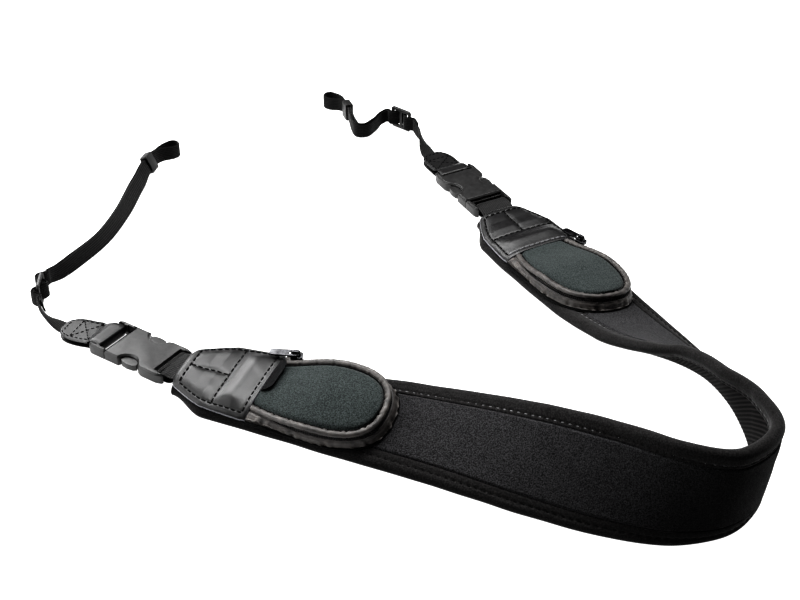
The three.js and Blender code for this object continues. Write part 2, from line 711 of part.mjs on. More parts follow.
function leatherTab(side) {
  const { tabBar, towardsTab } = buckleFrame(side);
  const bend = BUCKLES[side].tab - BUCKLES[side].heading;
  const shape = [
    { x: TAB_LENGTH, half: 6.5 },
    { x: TAB_LENGTH - 2, half: 8.6 },
    { x: TAB_LENGTH - 7, half: 10.6 },
    { x: TAB_LENGTH - 14, half: TAB_HALF },
    { x: 10, half: TAB_HALF },
  ];
  const above = shape.map((row) => ({ ...row, z: 4.3 }));
  const below = shape.map((row) => ({ ...row, z: 0.95 })).reverse();
  const rise = { x: 4.8, z: 6.7, half: TAB_HALF };
  const drop = { x: 4, z: 1, half: TAB_HALF };
  const rows = [...above, rise, ...roundBar(TAB_HALF, TAB_THICK), drop, ...below];
  return strip(barSpots(tabBar, towardsTab, bend, rows), TAB_THICK);
}

// Arms

function armOf(side) {
  const rows = ARMS[side];
  const path = new THREE.CatmullRomCurve3(rows.map((r) => new THREE.Vector3(r.x, r.y, 0)));
  const rolls = new THREE.CatmullRomCurve3(rows.map((r) => new THREE.Vector3(r.roll, 0, 0)));
  path.arcLengthDivisions = 600;
  const length = path.getLength();
  const lengths = path.getLengths(600);
  const markAt = (name) => {
    const row = rows.findIndex((r) => r.mark === name);
    return lengths[Math.round((600 * row) / (rows.length - 1))];
  };
  return { path, rolls, length, slider: markAt("slider"), keeper: markAt("keeper") };
}

// Half the spread of the two layers: joined at the tab, a little slack between, and open at the end loop.
function layerOffset(arm, s) {
  const joined = LAYER_HALF * smooth((s - arm.slider + 34) / 16);
  const slack = 0.9 * smooth((s - arm.slider - 16) / 25) * smooth((arm.keeper - 8 - s) / 25);
  const loop = (LOOP_HALF - LAYER_HALF) * smooth((s - arm.length + LOOP_REACH) / (LOOP_REACH - 3));
  return joined + slack + loop;
}

// Frame of the pair of layers at a distance along the arm.
function armFrame(arm, s) {
  const t = arm.path.getUtoTmapping(s / arm.length);
  const along = arm.path.getTangent(t);
  const roll = arm.rolls.getPoint(t).x * RAD;
  const left = new THREE.Vector3().crossVectors(UP, along);
  const sideways = left.multiplyScalar(Math.cos(roll)).addScaledVector(UP, Math.sin(roll));
  const normal = new THREE.Vector3().crossVectors(along, sideways);
  const lift = 3.1 * (1 - smooth((Math.abs(s - arm.slider) - 10) / 18));
  const raise = 1.9 * (1 - smooth((Math.abs(s - arm.keeper) - 6) / 20));
  const stack = Math.max(2.2, layerOffset(arm, s) + 0.9);
  const z = 0.4 + (WEB_WIDTH / 2) * Math.sin(roll) + stack * Math.abs(Math.cos(roll)) + lift + raise;
  return { middle: arm.path.getPoint(t).setZ(z), along, sideways, normal };
}

// Wave of the pair over and under the slider's bars.
function weave(d) {
  return WEAVE * Math.cos((Math.PI * d) / BAR_PITCH) * (1 - smooth((Math.abs(d) - 9) / 8));
}

function layerStation(arm, s, layer) {
  const { middle, along, sideways, normal } = armFrame(arm, s);
  const d = s - arm.slider;
  const slope = (weave(d + 0.05) - weave(d - 0.05)) / 0.1;
  const tilted = normal.clone().addScaledVector(along, -slope).normalize();
  middle.addScaledVector(normal, weave(d)).addScaledVector(tilted, layer * layerOffset(arm, s));
  return { middle, sideways, normal: tilted, half: WEB_WIDTH / 2 };
}

function armStops(arm, from) {
  const stops = [];
  for (let s = from; s < arm.length - 1; ) {
    stops.push(s);
    s += Math.abs(s - arm.slider) < 14 ? 1.7 : 6;
  }
  return [...stops, arm.length];
}

function armWebbing(side) {
  const arm = armOf(side);
  const out = armStops(arm, 0).map((s) => layerStation(arm, s, -1));
  const back = armStops(arm, arm.slider - TAIL).map((s) => layerStation(arm, s, 1)).reverse();
  const end = armFrame(arm, arm.length);
  const turn = [-67.5, -45, -22.5, 0, 22.5, 45, 67.5].map((a) => {
    const normal = end.normal.clone().multiplyScalar(Math.sin(a * RAD));
    normal.addScaledVector(end.along, Math.cos(a * RAD));
    const middle = end.middle.clone().addScaledVector(normal, LOOP_HALF);
    return { middle, sideways: end.sideways, normal: normal.clone().negate(), half: WEB_WIDTH / 2 };
  });
  const inwards = back.map((station) => ({ ...station, normal: station.normal.clone().negate() }));
  return ribbon([...out, ...turn, ...inwards], WEB_THICK);
}

function triglide(side) {
  const arm = armOf(side);
  const { middle, along, sideways, normal } = armFrame(arm, arm.slider);
  const reach = BAR_PITCH + 1.2;
  const frame = toSolid(plate(cutRect(-reach, reach, -8.6, 8.6, 1.5), -1, 1));
  const solid = cut(frame, [1.2, 7.2, -6, 6, -2, 2], [-7.2, -1.2, -6, 6, -2, 2]);
  return placeAt(fromSolid(solid), middle, along, sideways, normal);
}

function keeper(side) {
  const arm = armOf(side);
  const { middle, along, sideways, normal } = armFrame(arm, arm.keeper);
  const geometry = plate(cutRect(-7, 7, -3.2, 3.2, 0.8), -4.5, 4.5, [rect(-5.9, 5.9, -2.1, 2.1)]);
  return placeAt(geometry, middle, sideways, normal, along);
}

for (const side of ["left", "right"]) {
  add(`end_cap_${side}`, endCap(side), "leather");
  add(`pocket_gusset_${side}`, pocketWall(side, 0, ZIP_FROM - 0.04, 1.6, 0), "gusset");
  add(`pocket_zipper_${side}`, pocketWall(side, ZIP_FROM, 1, 1.6, 0.2), "zipper");
  add(`lid_piping_${side}`, lidPiping(side), "piping");
  add(`pocket_lid_${side}`, pocketLid(side), "lid");
  add(`zip_slider_${side}`, zipSlider(side), "metal");
  add(`zip_pull_${side}`, zipPull(side, PULL_TURN), "metal");
  add(`pad_webbing_${side}`, padWebbing(side), "web");
  add(`buckle_female_${side}`, buckleFemale(side), "plastic");
  add(`buckle_male_${side}`, buckleMale(side), "plastic");
  add(`leather_tab_${side}`, leatherTab(side), "leather");
  add(`webbing_${side}`, armWebbing(side), "web");
  add(`triglide_${side}`, triglide(side), "plastic");
  add(`keeper_${side}`, keeper(side), "plastic");
}
add("fold_label_left", foldLabel("left"), "label");

group.position.copy(HOME);
export default group;
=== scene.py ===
# Looks of a camera neck strap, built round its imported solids.
# Lengths are millimetres until a mesh is made; lights and the floor are in metres.
import math

import bmesh
import bpy
import numpy as np
from mathutils import Matrix


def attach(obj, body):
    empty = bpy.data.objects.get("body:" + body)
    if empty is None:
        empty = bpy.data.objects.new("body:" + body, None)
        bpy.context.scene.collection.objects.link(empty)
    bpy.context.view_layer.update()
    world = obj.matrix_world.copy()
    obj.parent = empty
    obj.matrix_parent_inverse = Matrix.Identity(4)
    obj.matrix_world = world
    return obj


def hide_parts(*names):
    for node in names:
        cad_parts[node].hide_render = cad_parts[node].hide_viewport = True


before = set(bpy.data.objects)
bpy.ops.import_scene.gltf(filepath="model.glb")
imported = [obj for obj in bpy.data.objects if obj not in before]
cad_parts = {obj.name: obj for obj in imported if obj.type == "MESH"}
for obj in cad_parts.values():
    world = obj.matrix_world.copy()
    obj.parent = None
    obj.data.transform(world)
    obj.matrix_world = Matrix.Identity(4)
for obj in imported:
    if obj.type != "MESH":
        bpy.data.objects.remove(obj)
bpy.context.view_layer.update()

MM = 0.001
UP = np.array([0.0, 0.0, 1.0])
GAP = 0.3
ROUTE_STEPS = 6000
# Sign of the across direction: the right end is the left one turned half round.
FLIP = {"left": 1, "right": -1}
BODY = "strap"
# Moves the strap so that the middle of its box is over the origin.
HOME = np.array([16.3, -23.1, 0.0])

# Camera: it looks along +Y and down at the point under HOME.
VIEW_DOWN = 35
VIEW_DISTANCE = 1000
VIEW_LENS = 67.5
VIEW_SENSOR = 36

# Band
BAND_HALF = 30
HALF_THICK = 4
FOOT_Z = 4.09
FOOT_W = -(BAND_HALF - HALF_THICK)
END_HALF = 18.5
FLARE = 27
# Extra half width between the pockets, where it starts from each end and its growing length.
MIDDLE_EXTRA = 2.1
MIDDLE_FROM = 150
MIDDLE_BLEND = 120
BINDING_WIDTH = 6
BINDING_WALL = 1
CORE_HALF = HALF_THICK - BINDING_WALL - GAP
# Pad's face: step beside the bindings, its width, and the crown.
PAD_STEP = 1.45
PAD_STEP_WIDTH = 1.4
PAD_CROWN = 0.35
# Stitched channel in the bindings: width, depth, and the depth's swing from stitch to stitch.
STITCH_PITCH = 4.7
CHANNEL_WIDTH = 0.9
CHANNEL_DEPTH = 0.5
CHANNEL_SWING = 0.3
STITCH_SINK = 0.75
# Stitch row's distance from the lip of the inner (1) and outer (-1) binding.
STITCH_IN = {1: 1.7, -1: 4.2}
# Lip of the bindings turned down.
LIP_DROP = 0.3
LIP_WIDTH = 0.5
# Diagonal ribs of the grip: pitch, turn from the band's length, depth and fading.
RIB_PITCH = 2.6
RIB_TURN = 33
RIB_DEPTH = 0.35
RIB_FADE = 1.5
GRIP_WALL = 0.6
# Foot line of the band as x, y and lean; lean 0 lies flat and 90 stands on edge.
BAND_ROWS = [
    (-142, -112, 5), (-90, -134, 8), (-41, -156, 14), (16, -181, 29), (66, -205, 47), (110, -223, 60),
    (147, -230, 79), (176, -223, 94.5), (194, -205, 96.5), (204, -177, 82), (207, -150, 64.5),
    (206, -126, 55), (201, -101, 44.5), (190, -74, 30), (171, -37, 13), (151, 1, 4), (119, 60, 0),
    (94, 107, 0),
]

# Leather cap: rows of distance from the narrow end, half width and rise in the middle.
CAP_LENGTH = 56
CAP_THICK = 1.6
CAP_UNDER = 4.6
CAP_ROWS = [
    (0, 15.5, 3.2), (2.5, 17.8, 3.6), (9, 20.9, 3.3), (16, 24.1, 2.8), (24, 27, 3.1), (31, 27.7, 2.4),
    (36, 28, 3.8), (44, 28.5, 4.6), (52, 28.8, 4.3), (56, 28.2, 4.6),
]
# Stitch rows of the cap, from its sides and its narrow end, and the grooves that they lie in.
CAP_BORDER = 3.6
CAP_FRONT_ROW = 5
CAP_CROSS_ROW = 31.3
CAP_FOLD_ROW = 53
CAP_PITCH = 4.1
CAP_STITCH_LIFT = 0.3
GROOVE_WIDTH = 0.9
GROOVE_DEPTH = 0.4
# Swell of the leather on both sides of the cross row, and its rounded rim.
REAR_SWELL = 1.3
FRONT_SWELL = 0.5
RIM_WIDTH = 0.7
RIM_DROP = 0.5
RIM_DROP_FOLD = 0.4

# Pocket, from the fold
POCKET_FRONT = 0.5
POCKET_SIDE = 40
BASE_HALF = 28.8
BASE_TIP = 85
POCKET_UNDER = 4.65
LID_HALF_FOLD = 17
LID_HALF = 23.6
LID_TIP = 78
TIP_POWER = 2.5
LID_THICK = 2
LID_LOW = 8.5
LID_HIGH = 14.4
LID_RISE = 46
# Dome of the lid at the fold and beyond, the swell on it and its edge tucked under the piping.
DOME_FOLD = 0.4
DOME = 2.4
LID_SWELL = 0.5
LID_TUCK = 1.7
LID_TUCK_WIDTH = 1.5
LID_PUCKER = 0.16
PIPING_HALF = 2
PIPING_TALL = 1.6
PIPING_OUT = 0.15
PIPING_DROP = 0.3
PIPING_SWELL = 0.07
PIPING_SCALLOP = 0.2
# Wall of the pocket, with shares of its height for the zip, coil and welts.
WALL = 1.2
WALL_BOW = 1.6
WALL_OUT = 1.6
WALL_TOP_GAP = 0.85
ZIP_FROM = 0.66
ZIP_GAP = 0.04
ZIP_COIL = 0.83
TOOTH_PITCH = 1.5
WELT_AT = {"low": ZIP_FROM + ZIP_GAP, "high": 0.97}
WELT_SHARE = 0.075
WELT_HALF = 0.5
# Depth of the tape, the welts and the coil below the wall's face.
TAPE_SINK = 0.35
WELT_SINK = 0.2
COIL_SINK = 0.1
# Puckers of the wall's cloth, its hem and the crease above the hem.
PUCKER = 0.6
FINE_PUCKER = 0.12
HEM = 0.9
CREASE = 0.35
# Black beads of painted shade in the gap at the lid's piping and under the pocket's hem: distance out of
# their line and radius.
LID_SHADE_LINE = (-0.05, 0.6)
LID_SHADE_DROP = 0.5
HEM_SHADE_LINE = (0.5, 0.75)
HEM_SHADE_LEVEL = 4.35
# The lay round a pocket's bodies is read on this ring.
LAY_RING = 90

# Plain tag in the left fold, across the lid and out from the fold.
LABEL_FROM = -7
LABEL_TO = 20
LABEL_REACH = 6.4
LABEL_START = 0.7
LABEL_BASE = 10.3
LABEL_CURL = 2.6
LABEL_THICK = 0.6

# Buckles: span between their bars, half of a bar, squareness of a loop round it, and height.
BAR_SPAN = 55
BAR_HALF = 2
BAR_SQUARE = 0.31
BUCKLE_HIGH = 8
# Wide webbing: half width, thickness, places below the cap, rise to the bar, and folded end as x and z.
STRAP_HALF = 12.2
STRAP_THICK = 1.6
STRAP_UNDER = (24, 12, 1)
STRAP_RISE = 0.4
STRAP_FOLD = [(4, 1.2), (6.5, 1.9)]
# Leather tab: levels of its two layers, and their rows next to the bar as x and z.
TAB_HALF = 12
TAB_THICK = 1.5
TAB_LENGTH = 33
TAB_FLAT = 23
TAB_TOP = 4.3
TAB_LOW = 0.95
TAB_NEAR_TOP = (4.8, 6.7)
TAB_NEAR_LOW = (4, 1)
TAB_BEND = 18
# Round tip of the tab: its start before the end, reach and squareness.
TAB_TIP = 15
TAB_TIP_REACH = 15.5
TAB_TIP_POWER = 2.6
# Stitched box on the tab as x from, x to and half width, and the border's distance from side and tip.
TAB_BOX = (9.5, 23.5, 9.2)
TAB_BORDER = 2.2
TAB_BORDER_TIP = 2.4
TAB_PITCH = 3.1
TAB_STITCH_LIFT = 0.12
# Middle of each buckle's bar on the band's side, heading to the tab and the tab's own heading.
BUCKLES = {
    "left": {"x": -140.4, "y": -78.3, "heading": 146, "tab": 158},
    "right": {"x": 66.9, "y": 112.6, "heading": 118.5, "tab": 119},
}

# Narrow webbing of the arms.
WEB_WIDTH = 11
WEB_THICK = 1.2
LAYER_HALF = 0.85
LOOP_HALF = 4.8
LOOP_REACH = 19
TAIL = 19
WEAVE = 3.9
WEAVE_REACH = (9, 8)
BAR_PITCH = 8.4
# The layers part before the slider and hang slack from it to the keeper.
JOIN_BEFORE = 34
JOIN_FADE = 16
SLACK = 0.9
SLACK_AFTER = 16
SLACK_BEFORE = 8
SLACK_FADE = 25
LOOP_END = 3
# Height over the table, and lift at the slider and the keeper with its flat part and fading.
WEB_GAP = 0.4
STACK_LEAST = 2.2
STACK_OVER = 0.9
SLIDER_LIFT = 3.1
SLIDER_REACH = (10, 18)
KEEPER_LIFT = 1.9
KEEPER_REACH = (6, 20)
WEB_STEP = 1.1
# Rows of each arm as x, y and roll, and the rows at its slider and its keeper.
ARM_SPOTS = {"left": (4, 10), "right": (5, 12)}
ARM_ROWS = {
    "left": [
        (-198, -42.5, 0), (-217.5, -34.5, 0), (-229, -26.5, 45), (-236.6, -13, 90), (-238, 0, 90),
        (-237.5, 13, 90), (-224.5, 35, 65), (-209, 66, 45), (-200, 102, 38), (-195, 138, 48),
        (-189.5, 169, 66), (-183, 184, 80), (-175, 194, 90),
    ],
    "right": [
        (32, 173, 0), (22, 192, 0), (18.5, 206, 50), (15, 220, 90), (9, 230.5, 90), (1, 238, 90),
        (-7, 244, 90), (-15, 242, 90), (-21, 233, 90), (-27, 225, 90), (-33, 225, 90), (-36.5, 233, 90),
        (-42, 255, 90), (-48, 267, 90), (-57, 275, 90),
    ],
}

# Stitches and zip teeth: length, width and height of each.
STITCHES = {
    "binding": (2.6, 0.8, 0.6),
    "cap": (3.1, 1.15, 0.8),
    "tab": (2.3, 0.8, 0.6),
    "tooth": (1.0, 1.7, 0.9),
}
# A stitch: rows of place along it and share of its width, and its corners round it.
STITCH_ROWS = [(-0.5, 0.35), (-0.34, 0.9), (0, 1), (0.34, 0.9), (0.5, 0.35)]
STITCH_CORNERS = 6

# Pieces taken from their solids, with the rounding of their edges.
HARD_PIECES = {
    "buckle_plastic": {"buckle_female": 0.7, "buckle_male": 0.7, "triglide": 0.5, "keeper": 0.4},
    "gunmetal": {"zip_slider": 0.3, "zip_pull": 0.3},
}
# Turns in degrees: edges above the first are rounded, and shading is smooth up to the others.
BEVEL_FROM = 35
SMOOTH_HARD = 40
SMOOTH_CLOTH = 50

SHEEN_ROUGH = 0.4

# Area lights in metres: name, place, target, size, watts and spread in degrees.
LIGHTS = [
    ("top", (0, 0.6, 1.8), (0, 0, 0), (1.8, 0.6), 48, 180),
    ("back_left", (-0.5, 0.52, 0.44), (-0.12, -0.05, 0), (0.7, 0.24), 0.6, 50),
    ("back_right", (1.3, 0.9, 0.9), (0.1, 0, 0), (0.8, 0.8), 3, 180),
    ("left", (-1.0, -0.16, 0.5), (-0.1, -0.05, 0), (1.0, 0.8), 8, 180),
]
WORLD_GLOW = 0.014
FLOOR_HALF = 6
FLOOR_GREY = 0.55
FLOOR_GLOW = 0.8


# Numbers

def smooth(t):
    x = np.clip(t, 0, 1)
    return x * x * (3 - 2 * x)


def blend(a, b, t):
    return a + (b - a) * t


def ridge(distance, width):
    """1 on a line and 0 well away from it."""
    return np.exp(-((distance / width) ** 2))


def near(distance, flat, fade):
    """1 within flat of a place, fading to 0 beyond."""
    return 1 - smooth((np.abs(distance) - flat) / fade)


def wobble(x, period, seed):
    """Slow uneven wave of about unit height."""
    waves = [np.sin(2 * np.pi * x * (0.55 + 0.47 * k) / period + 1.9 * k * seed) for k in (1, 2, 3)]
    return sum(waves) / 2.2


def unit(vectors):
    return vectors / np.linalg.norm(vectors, axis=-1, keepdims=True)


def square_to(along, vectors):
    """Unit vectors with their part along taken out."""
    return unit(vectors - along * np.sum(vectors * along, axis=1, keepdims=True))


def round_turns(count):
    return np.radians(np.arange(count) * 360 / count)


def read_points(spots, at, points):
    """Points of a line at spots, where at is each point's distance along it."""
    return np.stack([np.interp(spots, at, points[:, k]) for k in range(3)], axis=-1)


def catmull(points, t):
    """Centripetal Catmull-Rom curve through points, at an array of t from 0 to 1."""
    p = np.asarray(points, float)
    last = len(p) - 1
    place = np.clip(np.asarray(t) * last, 0, last)
    i = np.minimum(place.astype(int), last - 1)
    f = (place - i)[:, None]
    full = np.vstack([2 * p[0] - p[1], p, 2 * p[-1] - p[-2]])
    a, b, c, d = (full[i + k] for k in range(4))
    pairs = ((a, b), (b, c), (c, d))
    g0, g1, g2 = (np.sqrt(np.linalg.norm(r - q, axis=1, keepdims=True)) for q, r in pairs)
    g1 = np.where(g1 < 1e-4, 1, g1)
    g0 = np.where(g0 < 1e-4, g1, g0)
    g2 = np.where(g2 < 1e-4, g1, g2)
    m1 = ((b - a) / g0 - (c - a) / (g0 + g1) + (c - b) / g1) * g1
    m2 = ((c - b) / g1 - (d - b) / (g1 + g2) + (d - c) / g2) * g1
    return b + m1 * f + (3 * (c - b) - 2 * m1 - m2) * f**2 + (2 * (b - c) + m1 + m2) * f**3


class Route:
    """Curve through rows of x, y and turn, read by the distance along it."""

    def __init__(self, rows, z):
        t = np.linspace(0, 1, ROUTE_STEPS + 1)
        self.points = catmull([(x, y, z) for x, y, _ in rows], t)
        self.turn = catmull([(turn, 0) for _, _, turn in rows], t)[:, 0]
        steps = np.linalg.norm(np.diff(self.points, axis=0), axis=1)
        self.at = np.concatenate([[0], np.cumsum(steps)])
        self.length = self.at[-1]
        self.tangent = unit(np.gradient(self.points, self.at, axis=0))

    def read(self, u):
        """Point, direction along and turn in radians at each distance."""
        inside = np.clip(u, 0, self.length)
        along = unit(read_points(inside, self.at, self.tangent))
        point = read_points(inside, self.at, self.points) + along * (u - inside)[..., None]
        return point, along, np.radians(np.interp(inside, self.at, self.turn))


BAND = Route(BAND_ROWS, FOOT_Z)


def band_frame(u):
    """Foot point, along, across towards the inside, and out of the face."""
    foot, along, lean = BAND.read(np.asarray(u, float))
    inward = unit(np.stack([-along[..., 1], along[..., 0], 0 * along[..., 0]], axis=-1))
    c, s = np.cos(lean)[..., None], np.sin(lean)[..., None]
    return foot, along, inward * c + UP * s, UP * c - inward * s


def from_end(u):
    return np.minimum(u, BAND.length - u)


def extra_half(u):
    return MIDDLE_EXTRA * smooth((from_end(u) - MIDDLE_FROM) / MIDDLE_BLEND)


def band_point(u, w, n):
    u, w, n = np.broadcast_arrays(np.asarray(u, float), w, n)
    foot, _, across, out = band_frame(u)
    return foot + across * (w - FOOT_W + extra_half(u))[..., None] + out * n[..., None]


def end_u(side, u):
    u = np.asarray(u, float)
    return u if side == "left" else BAND.length - u


def end_point(side, u, w, n):
    """Point of an end of the band: u from its narrow end, w across and n out of its face."""
    return band_point(end_u(side, u), FLIP[side] * np.asarray(w, float), n)


def end_out(side, u):
    return band_frame(end_u(side, u))[3]


def end_across(side, u):
    return band_frame(end_u(side, u))[2] * FLIP[side]


def band_half(u):
    return blend(END_HALF, BAND_HALF, smooth(from_end(u) / FLARE)) + extra_half(u)


def lip_half(u):
    """Half width between the lips of the bindings."""
    return band_half(u) - HALF_THICK - BINDING_WIDTH


# Meshes

def add_object(name, data):
    obj = bpy.data.objects.new(name, data)
    bpy.context.scene.collection.objects.link(obj)
    return obj


def shade(mesh, turn):
    mesh.polygons.foreach_set("use_smooth", [True] * len(mesh.polygons))
    mesh.set_sharp_from_angle(angle=math.radians(turn))


def mesh_object(name, points, faces, uvs=None, accents=None):
    """Mesh from points, with uvs for each face corner and a material index for each face."""
    mesh = bpy.data.meshes.new(name)
    mesh.from_pydata(((points + HOME) * MM).tolist(), [], faces)
    if uvs is not None:
        layer = mesh.uv_layers.new(name="lay")
        layer.data.foreach_set("uv", np.asarray(uvs, np.float32).ravel())
    if accents is not None:
        mesh.polygons.foreach_set("material_index", accents)
    mesh.update()
    shade(mesh, SMOOTH_CLOTH)
    return add_object(name, mesh)


def loft(name, rings, along, ring, accent=()):
    """Closed body through rings. along and the way round one ring give the lay of its cloth; accent
    lists the columns round the ring that take the second material, with the two ends."""
    around = section_lay(rings[ring])
    stations, count = rings.shape[:2]
    i, j = np.meshgrid(np.arange(stations - 1), np.arange(count), indexing="ij")
    i, j = i.ravel(), j.ravel()
    k = (j + 1) % count
    quads = np.stack([i * count + j, i * count + k, (i + 1) * count + k, (i + 1) * count + j], axis=1)
    lay_v = np.append(around, around[-1] + np.linalg.norm(rings[0, 0] - rings[0, -1]))
    u = np.stack([along[i], along[i], along[i + 1], along[i + 1]], axis=1)
    v = np.stack([lay_v[j], lay_v[j + 1], lay_v[j + 1], lay_v[j]], axis=1)
    uvs = np.stack([u, v], axis=2)
    points = rings.reshape(-1, 3)
    middle = points.mean(axis=0)
    a, b, c, d = (points[quads[:, q]] - middle for q in range(4))
    volume = np.sum(a * np.cross(b, c)) + np.sum(a * np.cross(c, d))
    first = list(range(count))[::-1]
    last = list(range((stations - 1) * count, stations * count))
    if volume < 0:
        quads, uvs = quads[:, ::-1], uvs[:, ::-1]
        first, last = first[::-1], last[::-1]
    faces = quads.tolist() + [first, last]
    ends = np.zeros((2 * count, 2))
    accents = np.isin(j, list(accent)).astype(int).tolist() + [1 if accent else 0] * 2
    return mesh_object(name, points, faces, np.vstack([uvs.reshape(-1, 2), ends]), accents)


def section_lay(ring):
    """Distance round a ring of points, from its first."""
    return np.concatenate([[0], np.cumsum(np.linalg.norm(np.diff(ring, axis=0), axis=1))])


class Thread:
    """Gathers rows of stitches, then makes them as one piece."""

    def __init__(self):
        self.rows = []

    def row(self, path, ups, pitch):
        """Stitches along a dense path, with the way out at each point."""
        at = section_lay(path)
        count = max(1, int(at[-1] / pitch))
        spots = (np.arange(count) + 0.5) * at[-1] / count
        middle = read_points(spots, at, path)
        forward = unit(read_points(spots, at, np.gradient(path, at, axis=0)))
        up = square_to(forward, read_points(spots, at, ups))
        self.rows.append((middle, forward, up))

    def make(self, name, kind):
        """One mesh of small rounded bars."""
        length, width, height = STITCHES[kind]
        count = STITCH_CORNERS
        shape = []
        for x, r in STITCH_ROWS:
            for a in round_turns(count):
                shape.append((x * length, r * width / 2 * math.cos(a), r * height / 2 * math.sin(a)))
        one = len(shape)
        faces = []
        for low in range(0, one - count, count):
            for k in range(count):
                beside = (k + 1) % count
                faces.append([low + k, low + beside, low + count + beside, low + count + k])
        faces += [list(range(count))[::-1], list(range(one - count, one))]
        points, forwards, ups = (np.vstack(part)[:, None, :] for part in zip(*self.rows))
        x, y, z = np.array(shape).T[:, None, :, None]
        spread = points + forwards * x + np.cross(ups, forwards) * y + ups * z
        every = [[q + copy * one for q in face] for copy in range(len(points)) for face in faces]
        return mesh_object(name, spread.reshape(-1, 3), every)


def dress(obj, slot, *nodes, body=BODY, look=None, edge=None):
    """Gives a piece its look, which is the slot's unless look is given, and its edge look if any; attaches
    it to its body and hides the solids that it replaces.
    """
    for name in (look or slot, edge):
        if name:
            obj.data.materials.append(LOOKS[name])
    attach(obj, body)
    if nodes:
        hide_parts(*nodes)


# Materials

class Look:
    """A material. Its colour, gloss and bumps follow patterns: a method's name below and its values."""

    def __init__(self, name, rough, specular=0.5, metal=0.0, sheen=0.0, colour=None, gloss=None, bumps=()):
        self.material = bpy.data.materials.new(name)
        self.material.use_nodes = True
        self.tree = self.material.node_tree
        self.shader = self.tree.nodes["Principled BSDF"].inputs
        self.patterns = {}
        values = {"Roughness": rough, "Specular IOR Level": specular, "Metallic": metal}
        values |= {"Sheen Weight": sheen, "Sheen Roughness": SHEEN_ROUGH}
        self.fill(values)
        sockets = ("Base Color", "Roughness", "Normal")
        makers = (self.ramp, self.span, self.bump)
        for socket, make, row in zip(sockets, makers, (colour, gloss, bumps)):
            if row:
                self.tree.links.new(make(*row), self.shader[socket])

    def fill(self, values):
        for socket, value in values.items():
            self.shader[socket].default_value = value

    def node(self, kind, output, links, **values):
        """Adds a node with its links and values, and gives one of its outputs."""
        made = self.tree.nodes.new(f"ShaderNode{kind}")
        for key, source in links.items():
            self.tree.links.new(source, made.inputs[key])
        for key, value in values.items():
            if hasattr(made, key):
                setattr(made, key, value)
            else:
                made.inputs[key.replace("_", " ")].default_value = value
        return made.outputs[output]

    def pattern(self, kind, *values):
        """Output of a pattern, made once."""
        if (kind, values) not in self.patterns:
            self.patterns[kind, values] = getattr(self, kind)(*values)
        return self.patterns[kind, values]

    def place(self):
        return {"Vector": self.node("TexCoord", "Object", {})}

    def noise(self, size, detail=2.0):
        """Noise with spots of about that size in millimetres."""
        return self.node("TexNoise", "Fac", self.place(), Scale=1 / (size * MM), Detail=detail)

    def cells(self, size):
        edges = "DISTANCE_TO_EDGE"
        return self.node("TexVoronoi", "Distance", self.place(), feature=edges, Scale=1 / (size * MM))

    def wave(self, pitch, direction, distortion=0.0, turn=0, squeeze=1):
        """Waves in the cloth's lay in millimetres, which is turned by degrees and squeezed."""
        flat = {"Vector": self.node("UVMap", "UV", {}, uv_map="lay")}
        scale = (1 / (pitch * squeeze), 1 / pitch, 1)
        lay = self.node("Mapping", "Vector", flat, Scale=scale, Rotation=(0, 0, math.radians(turn)))
        look = {"bands_direction": direction, "Distortion": distortion, "Scale": math.pi / 10}
        return self.node("TexWave", "Fac", {"Vector": lay}, **look)

    def weave(self, *waves):
        """Two waves multiplied."""
        links = {socket: self.pattern(*wave) for socket, wave in enumerate(waves)}
        return self.node("Math", "Value", links, operation="MULTIPLY")

    def ramp(self, pattern, low, high, dark, light):
        """Colour from dark at the pattern's low to light at its high."""
        colour = self.node("ValToRGB", "Color", {"Fac": self.pattern(*pattern)})
        for end, position, shade in zip(colour.node.color_ramp.elements, (low, high), (dark, light)):
            end.position = position
            end.color = (*shade, 1)
        return colour

    def span(self, pattern, low, high, least, most):
        limits = {"From_Min": low, "From_Max": high, "To_Min": least, "To_Max": most}
        return self.node("MapRange", "Result", {"Value": self.pattern(*pattern)}, **limits)

    def bump(self, *bumps):
        """Bumps of pattern and depth in millimetres, laid one over the other."""
        links = {}
        for pattern, depth in bumps:
            links["Height"] = self.pattern(*pattern)
            links["Normal"] = self.node("Bump", "Normal", links, Strength=1.0, Distance=depth * MM)
        return links["Normal"]


KNIT = ("weave", ("wave", 0.9, "Y"), ("wave", 0.9, "X", 1.5, 0, 0.8))
CLOSE_WEAVE = ("weave", ("wave", 0.6, "X"), ("wave", 0.6, "Y"))
TAG_WEAVE = ("weave", ("wave", 0.5, "X"), ("wave", 0.5, "Y"))
CROSS_RIBS = ("weave", ("wave", 1.1, "X", 0.6), ("wave", 1.4, "Y"))
# Stripes along the grip's ribs, dark between them: painted shade in the rib valleys.
RIB_VALLEY_SHADE = ("wave", RIB_PITCH, "X", 0.0, RIB_TURN - 90)
CLOUDS = ("noise", 5, 3.0)
MOTTLE = ("noise", 9, 3.0)


def jersey(fleck, dark, light):
    """Stretch jersey: fine knit columns with a speckle of lighter fibres."""
    speckle = ("noise", fleck, 4.0)
    colour = (speckle, 0.38, 0.68, dark, light)
    bumps = [(KNIT, 0.1), (speckle, 0.08), (("noise", 9), 0.25)]
    return dict(rough=0.9, specular=0.08, sheen=0.15, colour=colour, bumps=bumps)


def folded_cloth(rough, dark, light):
    """Closely woven cloth with a slight shine."""
    colour = (CLOUDS, 0.3, 0.75, dark, light)
    bumps = [(CLOSE_WEAVE, 0.06), (CLOUDS, 0.25)]
    return dict(rough=rough, specular=0.45, sheen=0.1, colour=colour, bumps=bumps)


def thread(dark, light):
    colour = (("noise", 0.6), 0.35, 0.7, dark, light)
    return dict(rough=0.8, specular=0.12, sheen=0.02, colour=colour, bumps=[(("noise", 0.25), 0.08)])


